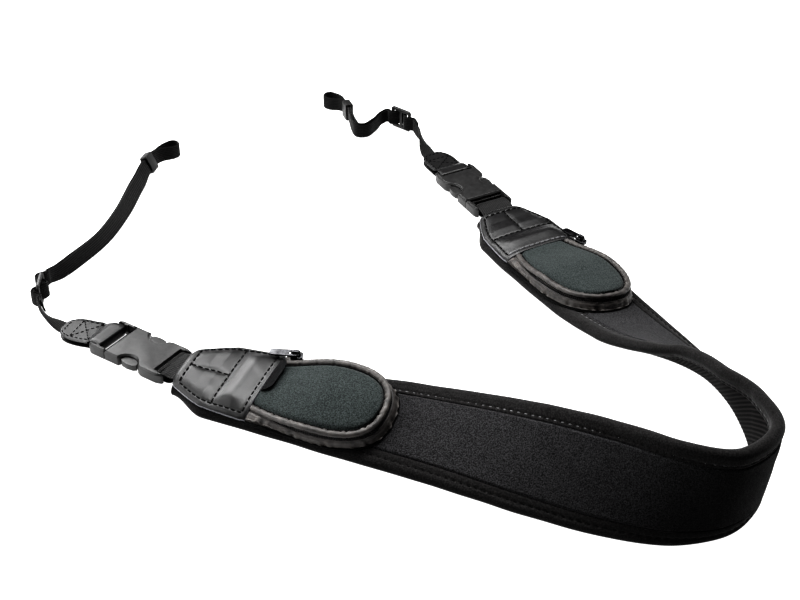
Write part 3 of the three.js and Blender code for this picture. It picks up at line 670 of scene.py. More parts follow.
# Looks: colour and gloss as pattern, its low and high, and what they give; bumps as pattern and depth.
LOOK_ROWS = {
    "pad_cloth": jersey(0.7, (0.009, 0.0088, 0.0092), (0.07, 0.069, 0.072)),
    "lid_cloth": jersey(0.75, (0.018, 0.0225, 0.022), (0.07, 0.0815, 0.0807)),
    "binding_cloth": dict(
        rough=0.8, specular=0.1, sheen=0.25,
        colour=(("noise", 0.9, 3.0), 0.4, 0.75, (0.008, 0.0075, 0.0075), (0.034, 0.0323, 0.0323)),
        bumps=[(("wave", 0.7, "X"), 0.05), (("noise", 0.9), 0.06), (("noise", 6), 0.25)],
    ),
    "grip_cloth": dict(
        rough=0.8, specular=0.08,
        # The grip's colour is painted darker in the valleys between its ribs, as shade.
        colour=(RIB_VALLEY_SHADE, 0.3, 0.85, (0.0005, 0.00047, 0.00047), (0.03, 0.0282, 0.0278)),
        bumps=[(("noise", 0.5), 0.06), (("wave", 0.9, "Y"), 0.05)],
    ),
    "piping_cloth": folded_cloth(0.45, (0.024, 0.0216, 0.0204), (0.105, 0.095, 0.0887)),
    "gusset_cloth": folded_cloth(0.5, (0.023, 0.0206, 0.0194), (0.11, 0.0985, 0.0906)),
    "leather": dict(
        rough=0.4, specular=0.42,
        colour=(MOTTLE, 0.3, 0.75, (0.008, 0.0078, 0.008), (0.016, 0.0156, 0.016)),
        gloss=(("noise", 4, 3.0), 0.3, 0.7, 0.34, 0.42),
        bumps=[(("cells", 0.8), 0.05), (("noise", 0.5), 0.03), (MOTTLE, 0.06)],
    ),
    # Pale cut edge of the leather: partly its lighter edge, partly a painted sheen.
    "edge_tone_and_sheen": dict(
        rough=0.4,
        colour=(("noise", 1.5, 3.0), 0.3, 0.7, (0.3, 0.3, 0.34), (0.5, 0.5, 0.55)),
        bumps=[(("noise", 0.5), 0.08)],
    ),
    "black_thread": thread((0.001, 0.001, 0.001), (0.004, 0.004, 0.004)),
    # Black thread painted grey as a highlight, for the stitches on the band's top rim.
    "rim_thread_highlight": thread((0.12, 0.12, 0.123), (0.32, 0.32, 0.326)),
    # Black thread painted pale as highlights, for the stitches along the right fold.
    "fold_thread_highlight": thread((0.1, 0.1, 0.105), (0.3, 0.3, 0.31)),
    "webbing": dict(
        rough=0.75, specular=0.18, sheen=0.12,
        colour=(CROSS_RIBS, 0.05, 0.8, (0.006, 0.006, 0.006), (0.026, 0.025, 0.025)),
        bumps=[(CROSS_RIBS, 0.18), (("noise", 0.4), 0.05)],
    ),
    "buckle_plastic": dict(
        rough=0.36,
        colour=(("noise", 4, 4.0), 0.3, 0.7, (0.013, 0.0127, 0.0127), (0.022, 0.0216, 0.0216)),
        gloss=(("noise", 2.5, 4.0), 0.3, 0.7, 0.36, 0.46),
        bumps=[(("noise", 0.35), 0.03), (("noise", 5), 0.06)],
    ),
    "gunmetal": dict(
        rough=0.22, metal=1.0,
        colour=(("noise", 4, 3.0), 0.3, 0.7, (0.03, 0.03, 0.032), (0.08, 0.08, 0.084)),
        gloss=(("noise", 2, 3.0), 0.3, 0.7, 0.26, 0.36),
        bumps=[(("noise", 0.5), 0.03)],
    ),
    "zip_tape": dict(
        rough=0.6, specular=0.4,
        colour=(("noise", 0.8), 0.35, 0.7, (0.006, 0.006, 0.006), (0.02, 0.019, 0.019)),
        bumps=[(("wave", 0.6, "Y"), 0.06), (("noise", 0.4), 0.05)],
    ),
    "label_cloth": dict(
        rough=0.75, specular=0.12,
        colour=(TAG_WEAVE, 0.0, 0.8, (0.002, 0.002, 0.0022), (0.007, 0.007, 0.008)),
        bumps=[(TAG_WEAVE, 0.05)],
    ),
}
LOOKS = {name: Look(name, **row).material for name, row in LOOK_ROWS.items()}


# Band

def arc(middle, radius, side, steps):
    """Round edge from the back to the face on side +1, or the reverse on -1."""
    turns = np.radians(np.linspace(-90, 90, steps) + (0 if side > 0 else 180))
    return middle + radius * np.cos(turns), radius * np.sin(turns)


def sweep(name, stops, section):
    """Body swept along the band; section gives arrays of w and n at a distance u."""
    rows = [section(u) for u in stops]
    w = np.array([row[0] for row in rows])
    n = np.array([row[1] for row in rows])
    rings = band_point(stops[:, None], w, n)
    return loft(name, rings, stops, len(stops) // 2)


def pad_face(u, w):
    """Height of the pad's face: a valley beside each binding, then a low crown."""
    rise = lip_half(u)
    inside = np.maximum(0, rise - np.abs(w))
    crown = PAD_STEP * smooth(inside / PAD_STEP_WIDTH) + PAD_CROWN * (1 - (w / rise) ** 2)
    return CORE_HALF + crown + 0.12 * wobble(u + 2.2 * w, 70, 1.0) * smooth(inside / 6)


def pad_section(u):
    edge = band_half(u) - HALF_THICK
    rise = edge - BINDING_WIDTH
    near_w, near_n = arc(edge, CORE_HALF, 1, 5)
    far_w, far_n = arc(-edge, CORE_HALF, -1, 5)
    across = np.sin(np.linspace(1, -1, 45) * np.pi / 2) * rise
    back = np.linspace(-rise, rise, 6)
    w = np.concatenate([near_w, across, far_w, back])
    n = np.concatenate([near_n, pad_face(u, across), far_n, np.full(6, -CORE_HALF)])
    return w, n


def binding_skin(u, w, lip, side):
    """Height of the binding's face, with its stitched channel."""
    depth = CHANNEL_DEPTH + CHANNEL_SWING * np.cos(2 * np.pi * u / STITCH_PITCH)
    channel = depth * ridge(w - lip - STITCH_IN[side], CHANNEL_WIDTH)
    turned = LIP_DROP * ridge(w - lip, LIP_WIDTH)
    return HALF_THICK - channel - turned


def binding_section(u, side):
    edge = band_half(u) - HALF_THICK
    lip = edge - BINDING_WIDTH
    inner = HALF_THICK - BINDING_WALL
    flat = np.linspace(lip, edge, 17)[:-1]
    round_w, round_n = arc(edge, HALF_THICK + 0.12 * wobble(u, 60, 2.0 + side), 1, 17)
    skin = binding_skin(u, flat, lip, side)
    hollow_w, hollow_n = arc(edge, inner, 1, 9)
    w = np.concatenate([flat, round_w, flat[::-1], [lip + 0.25], hollow_w[::-1], [lip + 0.25]])
    n = np.concatenate([-skin, round_n, skin[::-1], [inner], hollow_n[::-1], [-inner]])
    return (w, n) if side > 0 else (-w, -n)


def grip_section(u):
    """Section of the ribbed back; lay is the place across the cloth at its widest."""
    half = lip_half(u) - GAP
    widest = lip_half(BAND.length / 2) - GAP
    inner = -CORE_HALF - GAP
    share = np.linspace(-1, 1, 49)
    across = half * share
    lay = widest * (share + 1)
    fade = smooth((half - np.abs(across)) / RIB_FADE)
    turn = math.radians(RIB_TURN)
    phase = (u * math.sin(turn) + lay * math.cos(turn)) / RIB_PITCH
    rib = np.sqrt(0.5 - 0.5 * np.cos(2 * np.pi * phase))
    skin = inner - GRIP_WALL - RIB_DEPTH * rib * fade
    back = across[::-6]
    w = np.concatenate([across, back])
    n = np.concatenate([skin, np.full(len(back), inner)])
    return w, n


def make_band():
    pad = sweep("neck_pad_cloth", np.linspace(0, BAND.length, 380), pad_section)
    dress(pad, "pad_cloth", "neck_pad")
    stitched = np.linspace(0, BAND.length, 5 * int(BAND.length / STITCH_PITCH))
    for name, side in (("outer", -1), ("inner", 1)):
        binding = sweep(f"binding_{name}_cloth", stitched, lambda u, side=side: binding_section(u, side))
        dress(binding, "binding_cloth", f"edge_binding_{name}")
    ribbed = np.linspace(0, BAND.length, 5 * int(BAND.length / RIB_PITCH))
    dress(sweep("grip_back_cloth", ribbed, grip_section), "grip_cloth", "grip_back")
    dense = np.linspace(0, BAND.length, 1500)
    out = band_frame(dense)[3]
    # The inner binding's stitches take thread painted grey as a highlight of the top rim; the outer ones
    # stay black.
    for name, side, look in (("outer", -1, "black_thread"), ("inner", 1, "rim_thread_highlight")):
        rows = Thread()
        row_w = lip_half(dense) + STITCH_IN[side]
        for face in (1, -1):
            path = band_point(dense, side * row_w, face * (HALF_THICK - STITCH_SINK))
            rows.row(path, face * out, STITCH_PITCH)
        dress(rows.make(f"binding_stitches_{name}", "binding"), "binding_cloth", look=look)


# Ends

def cap_column(u, column):
    rows = np.array(CAP_ROWS)
    return np.interp(u, rows[:, 0], rows[:, column])


def cap_half(u):
    return cap_column(u, 1)


def cap_under(u, w):
    f = np.clip(w / cap_half(u), -1, 1)
    return CAP_UNDER + cap_column(u, 2) * (1 - f**4)


def cap_top(u, w):
    """Top of the cap: grooves along the stitching and soft swells between."""
    inside = cap_half(u) - CAP_BORDER - np.abs(w)
    within = smooth((inside + 1) / 1.5)
    within = within * smooth((u - CAP_FRONT_ROW + 1) / 1.5) * smooth((CAP_FOLD_ROW + 1 - u) / 1.5)
    front = smooth((CAP_CROSS_ROW - u) / 2)
    lines = [ridge(inside, GROOVE_WIDTH), ridge(w, GROOVE_WIDTH) * front]
    lines += [ridge(u - row, GROOVE_WIDTH) for row in (CAP_FRONT_ROW, CAP_CROSS_ROW, CAP_FOLD_ROW)]
    groove = np.max(np.stack(np.broadcast_arrays(*lines)), axis=0) * within
    rear = smooth((u - CAP_CROSS_ROW) / 12) * smooth((CAP_FOLD_ROW - u) / 12) * smooth(inside / 8)
    cells = smooth((CAP_CROSS_ROW - u) / 9) * smooth((u - CAP_FRONT_ROW) / 9) * smooth(inside / 6)
    swell = REAR_SWELL * rear + FRONT_SWELL * cells * smooth(np.abs(w) / 4)
    rim = RIM_DROP * ridge(cap_half(u) - np.abs(w), RIM_WIDTH) + RIM_DROP * ridge(u, RIM_WIDTH)
    rim = rim + RIM_DROP_FOLD * ridge(u - CAP_LENGTH, RIM_WIDTH)
    uneven = 0.05 * wobble(u + 1.3 * w, 26, 3.0)
    return cap_under(u, w) + CAP_THICK - GROOVE_DEPTH * groove + swell - rim + uneven


def cap_rows(side):
    """The cap's stitches, with those along the fold apart."""
    rows, fold = Thread(), Thread()

    def on_cap(u, w, rows=rows):
        path = end_point(side, u, w, cap_top(u, w) + CAP_STITCH_LIFT)
        rows.row(path, end_out(side, u), CAP_PITCH)

    long = np.linspace(CAP_FRONT_ROW, CAP_FOLD_ROW, 90)
    for flip in (1, -1):
        on_cap(long, flip * (cap_half(long) - CAP_BORDER))
    for u, thread_rows in ((CAP_FRONT_ROW, rows), (CAP_CROSS_ROW, rows), (CAP_FOLD_ROW, fold)):
        reach = cap_half(u) - CAP_BORDER
        on_cap(np.full(90, float(u)), np.linspace(-reach, reach, 90), thread_rows)
    on_cap(np.linspace(CAP_FRONT_ROW, CAP_CROSS_ROW, 60), np.zeros(60))
    return rows, fold


def make_cap(side):
    lengths = np.concatenate([np.linspace(0, 2.5, 8), np.linspace(3, CAP_LENGTH - 1, 120), [CAP_LENGTH]])
    share = np.sin(np.linspace(-1, 1, 71) * np.pi / 2)
    top_w = share * cap_half(lengths)[:, None]
    low_w = share[::-5] * cap_half(lengths)[:, None]
    u = lengths[:, None]
    top = end_point(side, u, top_w, cap_top(u, top_w))
    low = end_point(side, u, low_w, cap_under(u, low_w))
    rings = np.concatenate([top, low], axis=1)
    # The cap's cut edges take the pale edge look: partly the leather's lighter edge, partly a painted
    # sheen.
    edge_columns = (70, rings.shape[1] - 1)
    cap = loft(f"end_cap_{side}_leather", rings, lengths, 60, edge_columns)
    dress(cap, "leather", f"end_cap_{side}", edge="edge_tone_and_sheen")
    rows, fold = cap_rows(side)
    dress(rows.make(f"cap_stitches_{side}", "cap"), "leather", look="black_thread")
    # The right fold's stitches are painted pale as highlights; the left fold's stay black.
    fold_look = "black_thread" if side == "left" else "fold_thread_highlight"
    dress(fold.make(f"fold_stitches_{side}", "cap"), "leather", look=fold_look)


def pocket_outline(half_at, tip):
    """Flat outline of the pocket from the fold, round its tip and back, as u and w."""
    sides = np.linspace(POCKET_FRONT, POCKET_SIDE, 40)[:-1]
    turn = np.radians(np.linspace(-90, 90, 121))
    ahead = np.abs(np.cos(turn)) ** (2 / TIP_POWER)
    aside = np.sign(turn) * np.abs(np.sin(turn)) ** (2 / TIP_POWER)
    half = half_at(POCKET_SIDE)
    there = np.stack([sides, -half_at(sides)], axis=1)
    round_tip = np.stack([POCKET_SIDE + (tip - POCKET_SIDE) * ahead, half * aside], axis=1)
    back = np.stack([sides, half_at(sides)], axis=1)[::-1]
    return np.vstack([there, round_tip, back])


def lid_half(u):
    return blend(LID_HALF_FOLD, LID_HALF, np.sin(np.pi / 2 * np.minimum(1, u / POCKET_SIDE)))


def lid_level(u):
    return blend(LID_LOW, LID_HIGH, smooth(u / LID_RISE))


def outward(outline):
    along = unit(np.gradient(outline, axis=0))
    away = np.stack([along[:, 1], -along[:, 0]], axis=1)
    away[0] = (0, np.sign(outline[0, 1]))
    away[-1] = (0, np.sign(outline[-1, 1]))
    return away


BASE_LINE = pocket_outline(lambda u: 0 * u + BASE_HALF, BASE_TIP)
LID_LINE = pocket_outline(lid_half, LID_TIP)
LINE_LAY = section_lay(BASE_LINE)
LID_LEVELS = lid_level(LID_LINE[:, 0])


def pocket_point(side, flat, n):
    """Points over the flat u and w of a pocket."""
    return end_point(side, CAP_LENGTH + flat[..., 0], flat[..., 1], n)


def round_line(side, line, level, aside, rise):
    """Rings round a line of the pocket, from distances out of it and up."""
    flat = line[:, None, :] + outward(line)[:, None, :] * aside[..., None]
    return pocket_point(side, flat, level[:, None] + rise)


def pocket_body(name, rings, lay, slot, *nodes, look=None):
    dress(loft(name, rings, lay, LAY_RING), slot, *nodes, look=look)


def wall_point(side, t, depth):
    """Points of the wall at shares t of its height and depths out of its inner face."""
    lid_edge = LID_LINE + outward(LID_LINE) * WALL_OUT
    top = (LID_LEVELS - PIPING_TALL - WALL - WALL_TOP_GAP)[:, None]
    foot = BASE_LINE - outward(BASE_LINE)
    away = foot - lid_edge
    reach = np.linalg.norm(away, axis=1, keepdims=True)
    rise = top - POCKET_UNDER
    slope = np.hypot(reach, rise)
    lift = depth + WALL_BOW * 4 * t * (1 - t)
    flat = foot[:, None, :] * (1 - t)[..., None] + lid_edge[:, None, :] * t[..., None]
    flat = flat + (away / reach)[:, None, :] * (lift * rise / slope)[..., None]
    return pocket_point(side, flat, blend(POCKET_UNDER, top, t) + lift * reach / slope)


def wall_body(name, side, share, depth, back, slot, node):
    """Strip of the wall: its outer face at shares and depths, its inner face at those of back."""
    rings = np.concatenate([wall_point(side, share, depth), wall_point(side, back, 0)], axis=1)
    pocket_body(name, rings, LINE_LAY, slot, node)


def make_gusset(side):
    lay = LINE_LAY[:, None]
    share = np.linspace(0, ZIP_FROM - ZIP_GAP, 13)
    low = 1 - share / ZIP_FROM
    pucker = PUCKER * wobble(lay, 10, 1.0 + len(side)) + FINE_PUCKER * wobble(lay, 3.1, 4.0)
    pucker = pucker * (0.2 + 0.8 * low)
    hem = HEM * ridge(share, 0.06) * (1 + 0.6 * wobble(lay, 9, 5.0))
    crease = -CREASE * ridge(share - 0.3, 0.05) * (0.6 + 0.4 * wobble(lay, 31, 2.0))
    depth = WALL + pucker + hem + crease
    back = np.linspace(ZIP_FROM - ZIP_GAP, 0, 4)
    name = f"pocket_gusset_{side}"
    wall_body(f"{name}_cloth", side, share, depth, back, "gusset_cloth", name)


def make_zip(side):
    lay = LINE_LAY[:, None]
    share = np.linspace(ZIP_FROM, 1, 9)
    depth = WALL - TAPE_SINK
    wall_body(f"zip_tape_{side}", side, share, depth, share[::-4], "zip_tape", f"pocket_zipper_{side}")
    turns = round_turns(10)
    for name, at in WELT_AT.items():
        around_t = at + WELT_SHARE * np.cos(turns)
        around_d = WALL - WELT_SINK + WELT_HALF * np.sin(turns) + 0.1 * wobble(lay, 8, 3.0)
        welt = wall_point(side, around_t, around_d)
        pocket_body(f"zip_welt_{name}_{side}", welt, LINE_LAY, "piping_cloth")
    coil = np.array([ZIP_COIL])
    middle, above = (wall_point(side, coil, WALL - COIL_SINK + out)[:, 0] for out in (0, 1))
    teeth = Thread()
    teeth.row(middle, above - middle, TOOTH_PITCH)
    dress(teeth.make(f"zip_coil_{side}", "tooth"), "zip_tape")


def make_piping(side):
    turns = round_turns(20)
    lay = section_lay(LID_LINE)[:, None]
    outer_swell = PIPING_SWELL * wobble(lay, 7, 2.0 + len(side)) * (1 + np.cos(turns)) / 2
    scallop = PIPING_SCALLOP * wobble(lay, 5.5, 1.0 + len(side)) * (1 - np.cos(turns)) / 2
    swell = 1 + outer_swell + scallop
    aside = GAP + PIPING_OUT + PIPING_HALF * (1 + swell * np.cos(turns))
    rise = PIPING_TALL * swell * np.sin(turns)
    rings = round_line(side, LID_LINE, LID_LEVELS - PIPING_DROP, aside, rise)
    name = f"lid_piping_{side}"
    pocket_body(f"{name}_cloth", rings, lay[:, 0], "piping_cloth", name)


def make_shade_lines(side):
    """Black beads of painted shade: in the gap between the lid and its piping, and under the hem of the
    pocket's side.
    """
    turns = round_turns(8)
    foot = np.full(len(BASE_LINE), HEM_SHADE_LEVEL)
    rows = [
        ("lid", LID_LINE, LID_LEVELS - LID_SHADE_DROP, *LID_SHADE_LINE, "piping_cloth"),
        ("gusset", BASE_LINE, foot, *HEM_SHADE_LINE, "gusset_cloth"),
    ]
    for name, line, level, offset, radius, slot in rows:
        rings = round_line(side, line, level, offset + radius * np.cos(turns), radius * np.sin(turns))
        pocket_body(f"{name}_shadow_line_{side}", rings, section_lay(line), slot, look="black_thread")


def make_lid(side):
    straight = np.linspace(POCKET_FRONT, POCKET_SIDE, 40)[:-1]
    tip = POCKET_SIDE + (LID_TIP - POCKET_SIDE) * np.sin(np.radians(np.linspace(0, 88, 60)))
    u = np.concatenate([straight, tip])[:, None]
    bend = np.maximum(0, (u - POCKET_SIDE) / (LID_TIP - POCKET_SIDE))
    half = lid_half(u) * (1 - bend**TIP_POWER) ** (1 / TIP_POWER)
    dome = blend(DOME_FOLD, DOME, smooth(u / POCKET_SIDE)) * half / LID_HALF

    def level(f):
        return lid_level(u) - 1 + dome * (1 - f**2)

    f = np.sin(np.linspace(-1, 1, 49) * np.pi / 2)
    inside = (1 - np.abs(f)) * half
    pucker = LID_PUCKER * wobble(u + 9 * f, 6, 1.0 + len(side)) * ridge(inside, 2.5)
    tucked = LID_TUCK * ridge(inside, LID_TUCK_WIDTH)
    top = level(f) + LID_THICK + LID_SWELL * (1 - f**2) ** 2 + pucker - tucked
    back = f[::-4]
    upper = end_point(side, CAP_LENGTH + u, f * half, top)
    lower = end_point(side, CAP_LENGTH + u, back * half, level(back))
    rings = np.concatenate([upper, lower], axis=1)
    lid = loft(f"pocket_lid_{side}_cloth", rings, u[:, 0], 40)
    dress(lid, "lid_cloth", f"pocket_lid_{side}")


def make_label():
    """Plain woven tag sewn into the left fold and curled over the lid."""
    w = np.linspace(LABEL_FROM, LABEL_TO, 60)[:, None]
    share = (w - LABEL_FROM) / (LABEL_TO - LABEL_FROM)
    reach = LABEL_REACH * np.clip(1 - np.abs(2 * share - 1) ** 5, 0.02, 1) ** 0.5
    across = np.linspace(0, 1, 21)
    u = LABEL_START + reach * across
    curl = LABEL_BASE + LABEL_CURL * across**1.5 * reach / LABEL_REACH + 0.3 * wobble(w, 26, 2.0) * across
    top = end_point("left", CAP_LENGTH + u, w, curl + LABEL_THICK)
    low = end_point("left", CAP_LENGTH + u[:, ::-1], w, curl[:, ::-1])
    rings = np.concatenate([top, low], axis=1)
    label = loft("fold_label_cloth", rings, w[:, 0], 30)
    dress(label, "label_cloth", "fold_label_left")


# Straps

def ribbon(name, middle, sideways, normal, half, thick):
    """Strap with rounded edges; half is its half width, or one for each station."""
    across = np.linspace(-1, 1, 15)
    bulge = np.sqrt(np.clip(1 - np.abs(across) ** 14, 0, 1))
    s = np.concatenate([across, across[::-1]])
    t = np.concatenate([-bulge, bulge[::-1]]) * thick / 2
    half = np.broadcast_to(half, len(middle))[:, None]
    rings = (
        middle[:, None, :]
        + sideways[:, None, :] * (s * half)[..., None]
        + normal[:, None, :] * t[:, None]
    )
    keep = np.ones(len(s), bool)
    keep[len(across)] = keep[-1] = False
    rings = rings[:, keep]
    return loft(name, rings, section_lay(middle), 0)


def buckle_bars(side):
    """Middle of the band's bar and of the tab's bar, and the direction between them."""
    buckle = BUCKLES[side]
    turn = math.radians(buckle["heading"])
    towards = np.array([math.cos(turn), math.sin(turn), 0.0])
    band_bar = np.array([buckle["x"], buckle["y"], 0.0])
    return band_bar, band_bar + towards * BAR_SPAN, towards


def bar_spots(bar, outwards, bend, rows):
    """Middles and sideways directions of a strip at rows of x out of a bar and height z."""
    middles, sideways = [], []
    for x, z in rows:
        turn = math.radians(bend * float(smooth(x / TAB_BEND)))
        c, s = math.cos(turn), math.sin(turn)
        ahead = np.array([outwards[0] * c - outwards[1] * s, outwards[0] * s + outwards[1] * c, 0])
        middles.append(bar + ahead * x + UP * z)
        sideways.append(np.cross(UP, ahead))
    return middles, sideways


def round_bar(thick):
    reach = BAR_HALF + GAP + thick / 2
    turns = np.radians(np.linspace(90, -90, 25))
    back = np.abs(np.cos(turns)) ** BAR_SQUARE
    rise = np.sign(turns) * np.abs(np.sin(turns)) ** BAR_SQUARE
    return [(-reach * b, BUCKLE_HIGH / 2 + reach * r) for b, r in zip(back, rise)]


def resample(middles, sideways, count):
    """Even stations along a smooth curve through the middles."""
    t = np.linspace(0, 1, 40 * len(middles))
    points = catmull(middles, t)
    at = section_lay(points)
    spots = np.linspace(0, at[-1], count)
    middle = read_points(spots, at, points)
    along = unit(np.gradient(middle, spots, axis=0))
    side = square_to(along, read_points(spots, at, catmull(sideways, t)))
    return middle, side, np.cross(along, side)


def make_pad_webbing(side):
    band_bar, _, towards = buckle_bars(side)
    level = CAP_UNDER + STRAP_THICK / 2
    middles = [end_point(side, u, 0.0, level) for u in STRAP_UNDER]
    sideways = [end_across(side, u) for u in STRAP_UNDER]
    loop_m, loop_s = bar_spots(band_bar, -towards, 0, round_bar(STRAP_THICK))
    fold_m, fold_s = bar_spots(band_bar, -towards, 0, STRAP_FOLD)
    between = (middles[-1] + loop_m[0]) / 2 + UP * STRAP_RISE
    middles += [between, *loop_m, *fold_m]
    sideways += [unit(sideways[-1] + loop_s[0]), *loop_s, *fold_s]
    middle, across, normal = resample(middles, sideways, 130)
    strap = ribbon(f"pad_webbing_{side}_cloth", middle, across, normal, STRAP_HALF, STRAP_THICK)
    dress(strap, "webbing", f"pad_webbing_{side}")


def tab_half(x):
    """Half width of the tab: straight sides and a round tip."""
    tip = np.clip((x - (TAB_LENGTH - TAB_TIP)) / TAB_TIP_REACH, 0, 1)
    return TAB_HALF * (1 - tip**TAB_TIP_POWER) ** (1 / TAB_TIP_POWER) + 0.001


def make_tab(side):
    _, tab_bar, towards = buckle_bars(side)
    bend = BUCKLES[side]["tab"] - BUCKLES[side]["heading"]
    out_x = TAB_LENGTH - TAB_FLAT * np.sin(np.linspace(0, 1, 24) * np.pi / 2) ** 1.6
    above = [(x, TAB_TOP) for x in out_x]
    below = [(x, TAB_LOW) for x in out_x[::-1]]
    rows = [*above, TAB_NEAR_TOP, *round_bar(TAB_THICK), TAB_NEAR_LOW, *below]
    middles, sideways = bar_spots(tab_bar, towards, bend, rows)
    middle, across, normal = resample(middles, sideways, 220)
    flat = middle - tab_bar
    x = np.hypot(flat[:, 0], flat[:, 1])
    half = np.minimum(tab_half(x), TAB_HALF)
    tab = ribbon(f"leather_tab_{side}_leather", middle, across, normal, half, TAB_THICK)
    dress(tab, "leather", f"leather_tab_{side}")
    rows = tab_rows(tab_bar, towards, bend)
    dress(rows.make(f"tab_stitches_{side}", "tab"), "leather", look="black_thread")


def tab_rows(bar, towards, bend):
    """Border round the tip and a crossed box of stitches on the tab."""
    rows = Thread()
    level = TAB_TOP + TAB_THICK / 2 + TAB_STITCH_LIFT

    def on_tab(points):
        x, w = np.array(points).T
        middle, sideways = bar_spots(bar, towards, bend, [(out, level) for out in x])
        path = np.array(middle) + np.array(sideways) * w[:, None]
        rows.row(path, np.tile(UP, (len(path), 1)), TAB_PITCH)

    low, high, wide = TAB_BOX
    corners = [(low, -wide), (high, -wide), (high, wide), (low, wide)]
    for a, b in ((0, 1), (1, 2), (2, 3), (3, 0), (0, 2), (1, 3)):
        on_tab(np.linspace(corners[a], corners[b], 30))
    tip_x = np.linspace(high, TAB_LENGTH - TAB_BORDER_TIP, 30)
    tip = [(x, TAB_BORDER - tab_half(x)) for x in tip_x]
    on_tab(tip + [(x, -w) for x, w in tip[::-1]])
    return rows


class Arm:
    """Narrow webbing folded in two layers, from the tab to the end loop and back."""

    def __init__(self, side):
        self.route = Route(ARM_ROWS[side], 0)
        self.length = self.route.length
        last = len(ARM_ROWS[side]) - 1
        self.slider, self.keeper = (self.route.at[round(ROUTE_STEPS * k / last)] for k in ARM_SPOTS[side])

    def offset(self, s):
        joined = LAYER_HALF * smooth((s - self.slider + JOIN_BEFORE) / JOIN_FADE)
        slack = SLACK * smooth((s - self.slider - SLACK_AFTER) / SLACK_FADE)
        slack = slack * smooth((self.keeper - SLACK_BEFORE - s) / SLACK_FADE)
        opened = smooth((s - self.length + LOOP_REACH) / (LOOP_REACH - LOOP_END))
        return joined + slack + (LOOP_HALF - LAYER_HALF) * opened

    def frame(self, s):
        point, along, roll = self.route.read(s)
        left = np.cross(UP, along)
        c, d = np.cos(roll)[:, None], np.sin(roll)[:, None]
        sideways = left * c + UP * d
        normal = np.cross(along, sideways)
        lift = SLIDER_LIFT * near(s - self.slider, *SLIDER_REACH)
        raised = KEEPER_LIFT * near(s - self.keeper, *KEEPER_REACH)
        stack = np.maximum(STACK_LEAST, self.offset(s) + STACK_OVER)
        z = WEB_GAP + WEB_WIDTH / 2 * np.sin(roll) + stack * np.abs(np.cos(roll)) + lift + raised
        return point + UP * z[:, None], along, sideways, normal

    def weave(self, d):
        return WEAVE * np.cos(np.pi * d / BAR_PITCH) * near(d, *WEAVE_REACH)

    def layer(self, s, sign):
        middle, along, sideways, normal = self.frame(s)
        d = s - self.slider
        slope = (self.weave(d + 0.05) - self.weave(d - 0.05)) / 0.1
        tilted = unit(normal - along * slope[:, None])
        middle = middle + normal * self.weave(d)[:, None] + tilted * (sign * self.offset(s))[:, None]
        return middle, sideways, tilted


def make_arm(side):
    arm = Arm(side)
    there = np.linspace(0, arm.length, int(arm.length / WEB_STEP))
    tail = arm.slider - TAIL
    back = np.linspace(arm.length, tail, int((arm.length - tail) / WEB_STEP))
    out_m, out_s, out_n = arm.layer(there, -1)
    back_m, back_s, back_n = arm.layer(back, 1)
    end_m, end_a, end_s, end_n = (row[0] for row in arm.frame(np.array([arm.length])))
    turns = np.radians(np.linspace(-82, 82, 19))[:, None]
    round_n = end_n * np.sin(turns) + end_a * np.cos(turns)
    round_m = end_m + round_n * LOOP_HALF
    middle = np.vstack([out_m, round_m, back_m])
    sideways = np.vstack([out_s, np.tile(end_s, (len(turns), 1)), back_s])
    normal = np.vstack([out_n, -round_n, -back_n])
    strap = ribbon(f"webbing_{side}_cloth", middle, sideways, normal, WEB_WIDTH / 2, WEB_THICK)
    dress(strap, "webbing", f"webbing_{side}")


def make_hard_piece(node, slot, bevel, body):
    """Copy of a solid with its edges rounded."""
    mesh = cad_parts[node].data.copy()
    mesh.name = f"{node}_shape"
    mesh.materials.clear()
    bm = bmesh.new()
    bm.from_mesh(mesh)
    bmesh.ops.remove_doubles(bm, verts=bm.verts, dist=1e-6)
    bmesh.ops.dissolve_limit(bm, angle_limit=math.radians(1), verts=bm.verts, edges=bm.edges)
    turned = math.radians(BEVEL_FROM)
    edges = [e for e in bm.edges if len(e.link_faces) == 2 and e.calc_face_angle(0) > turned]
    bmesh.ops.bevel(
        bm, geom=edges, offset=bevel * MM, segments=3, profile=0.6, affect="EDGES", clamp_overlap=True
    )
    bm.to_mesh(mesh)
    bm.free()
    shade(mesh, SMOOTH_HARD)
    dress(add_object(f"{node}_body", mesh), slot, node, body=body)


# Stage

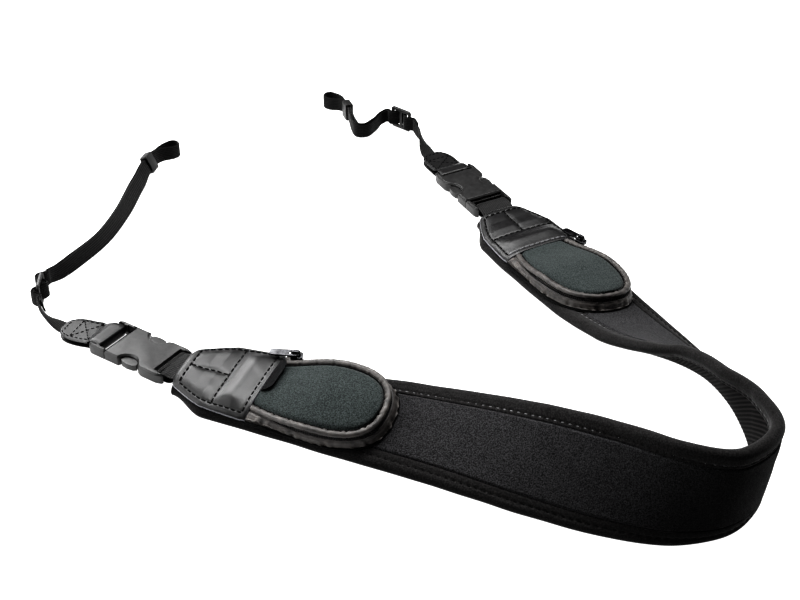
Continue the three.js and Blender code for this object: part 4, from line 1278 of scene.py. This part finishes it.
def make_floor():
    mesh = bpy.data.meshes.new("floor")
    corners = [(x * FLOOR_HALF, y * FLOOR_HALF, 0) for x, y in ((-1, -1), (1, -1), (1, 1), (-1, 1))]
    mesh.from_pydata(corners, [], [(0, 1, 2, 3)])
    floor = add_object("floor", mesh)
    look = Look("floor", 0.9, specular=0.1)
    look.fill({"Base Color": (FLOOR_GREY, FLOOR_GREY, FLOOR_GREY, 1)})
    look.fill({"Emission Color": (1, 1, 1, 1), "Emission Strength": FLOOR_GLOW})
    mesh.materials.append(look.material)
    floor.visible_diffuse = False


def make_light(name, place, target, size, watts, spread):
    light = bpy.data.lights.new(name, "AREA")
    light.spread = math.radians(spread)
    light.shape = "RECTANGLE"
    light.size, light.size_y = size
    light.energy = watts
    back = unit(np.array(place, float) - np.array(target, float))
    side = unit(np.cross((0, 1, 0.01), back))
    above = np.cross(back, side)
    rows = [[side[k], above[k], back[k], place[k]] for k in range(3)]
    add_object(name, light).matrix_world = Matrix([*rows, [0, 0, 0, 1]])


def make_stage():
    make_floor()
    scene = bpy.context.scene
    scene.world = bpy.data.worlds.new("studio")
    scene.world.use_nodes = True
    glow = scene.world.node_tree.nodes["Background"].inputs
    glow["Color"].default_value = (1, 1, 1, 1)
    glow["Strength"].default_value = WORLD_GLOW
    scene.view_settings.view_transform = "Standard"
    scene.view_settings.look = "High Contrast"
    for light in LIGHTS:
        make_light(*light)


def make_camera():
    camera = bpy.data.cameras.new("camera")
    camera.lens = VIEW_LENS
    camera.sensor_width = VIEW_SENSOR
    camera.clip_start = 0.01
    obj = add_object("camera", camera)
    down = math.radians(VIEW_DOWN)
    back = np.array([0, -math.cos(down), math.sin(down)])
    obj.location = (HOME + back * VIEW_DISTANCE) * MM
    obj.rotation_euler = (math.pi / 2 - down, 0, 0)
    bpy.context.scene.camera = obj


make_camera()
make_stage()
make_band()
pocket_makers = (make_gusset, make_zip, make_piping, make_shade_lines, make_lid)
for side in FLIP:
    for make in (make_cap, *pocket_makers, make_pad_webbing, make_tab, make_arm):
        make(side)
    for slot, pieces in HARD_PIECES.items():
        for name, bevel in pieces.items():
            body = f"pull_{side}" if name == "zip_pull" else BODY
            make_hard_piece(f"{name}_{side}", slot, bevel, body)
make_label()
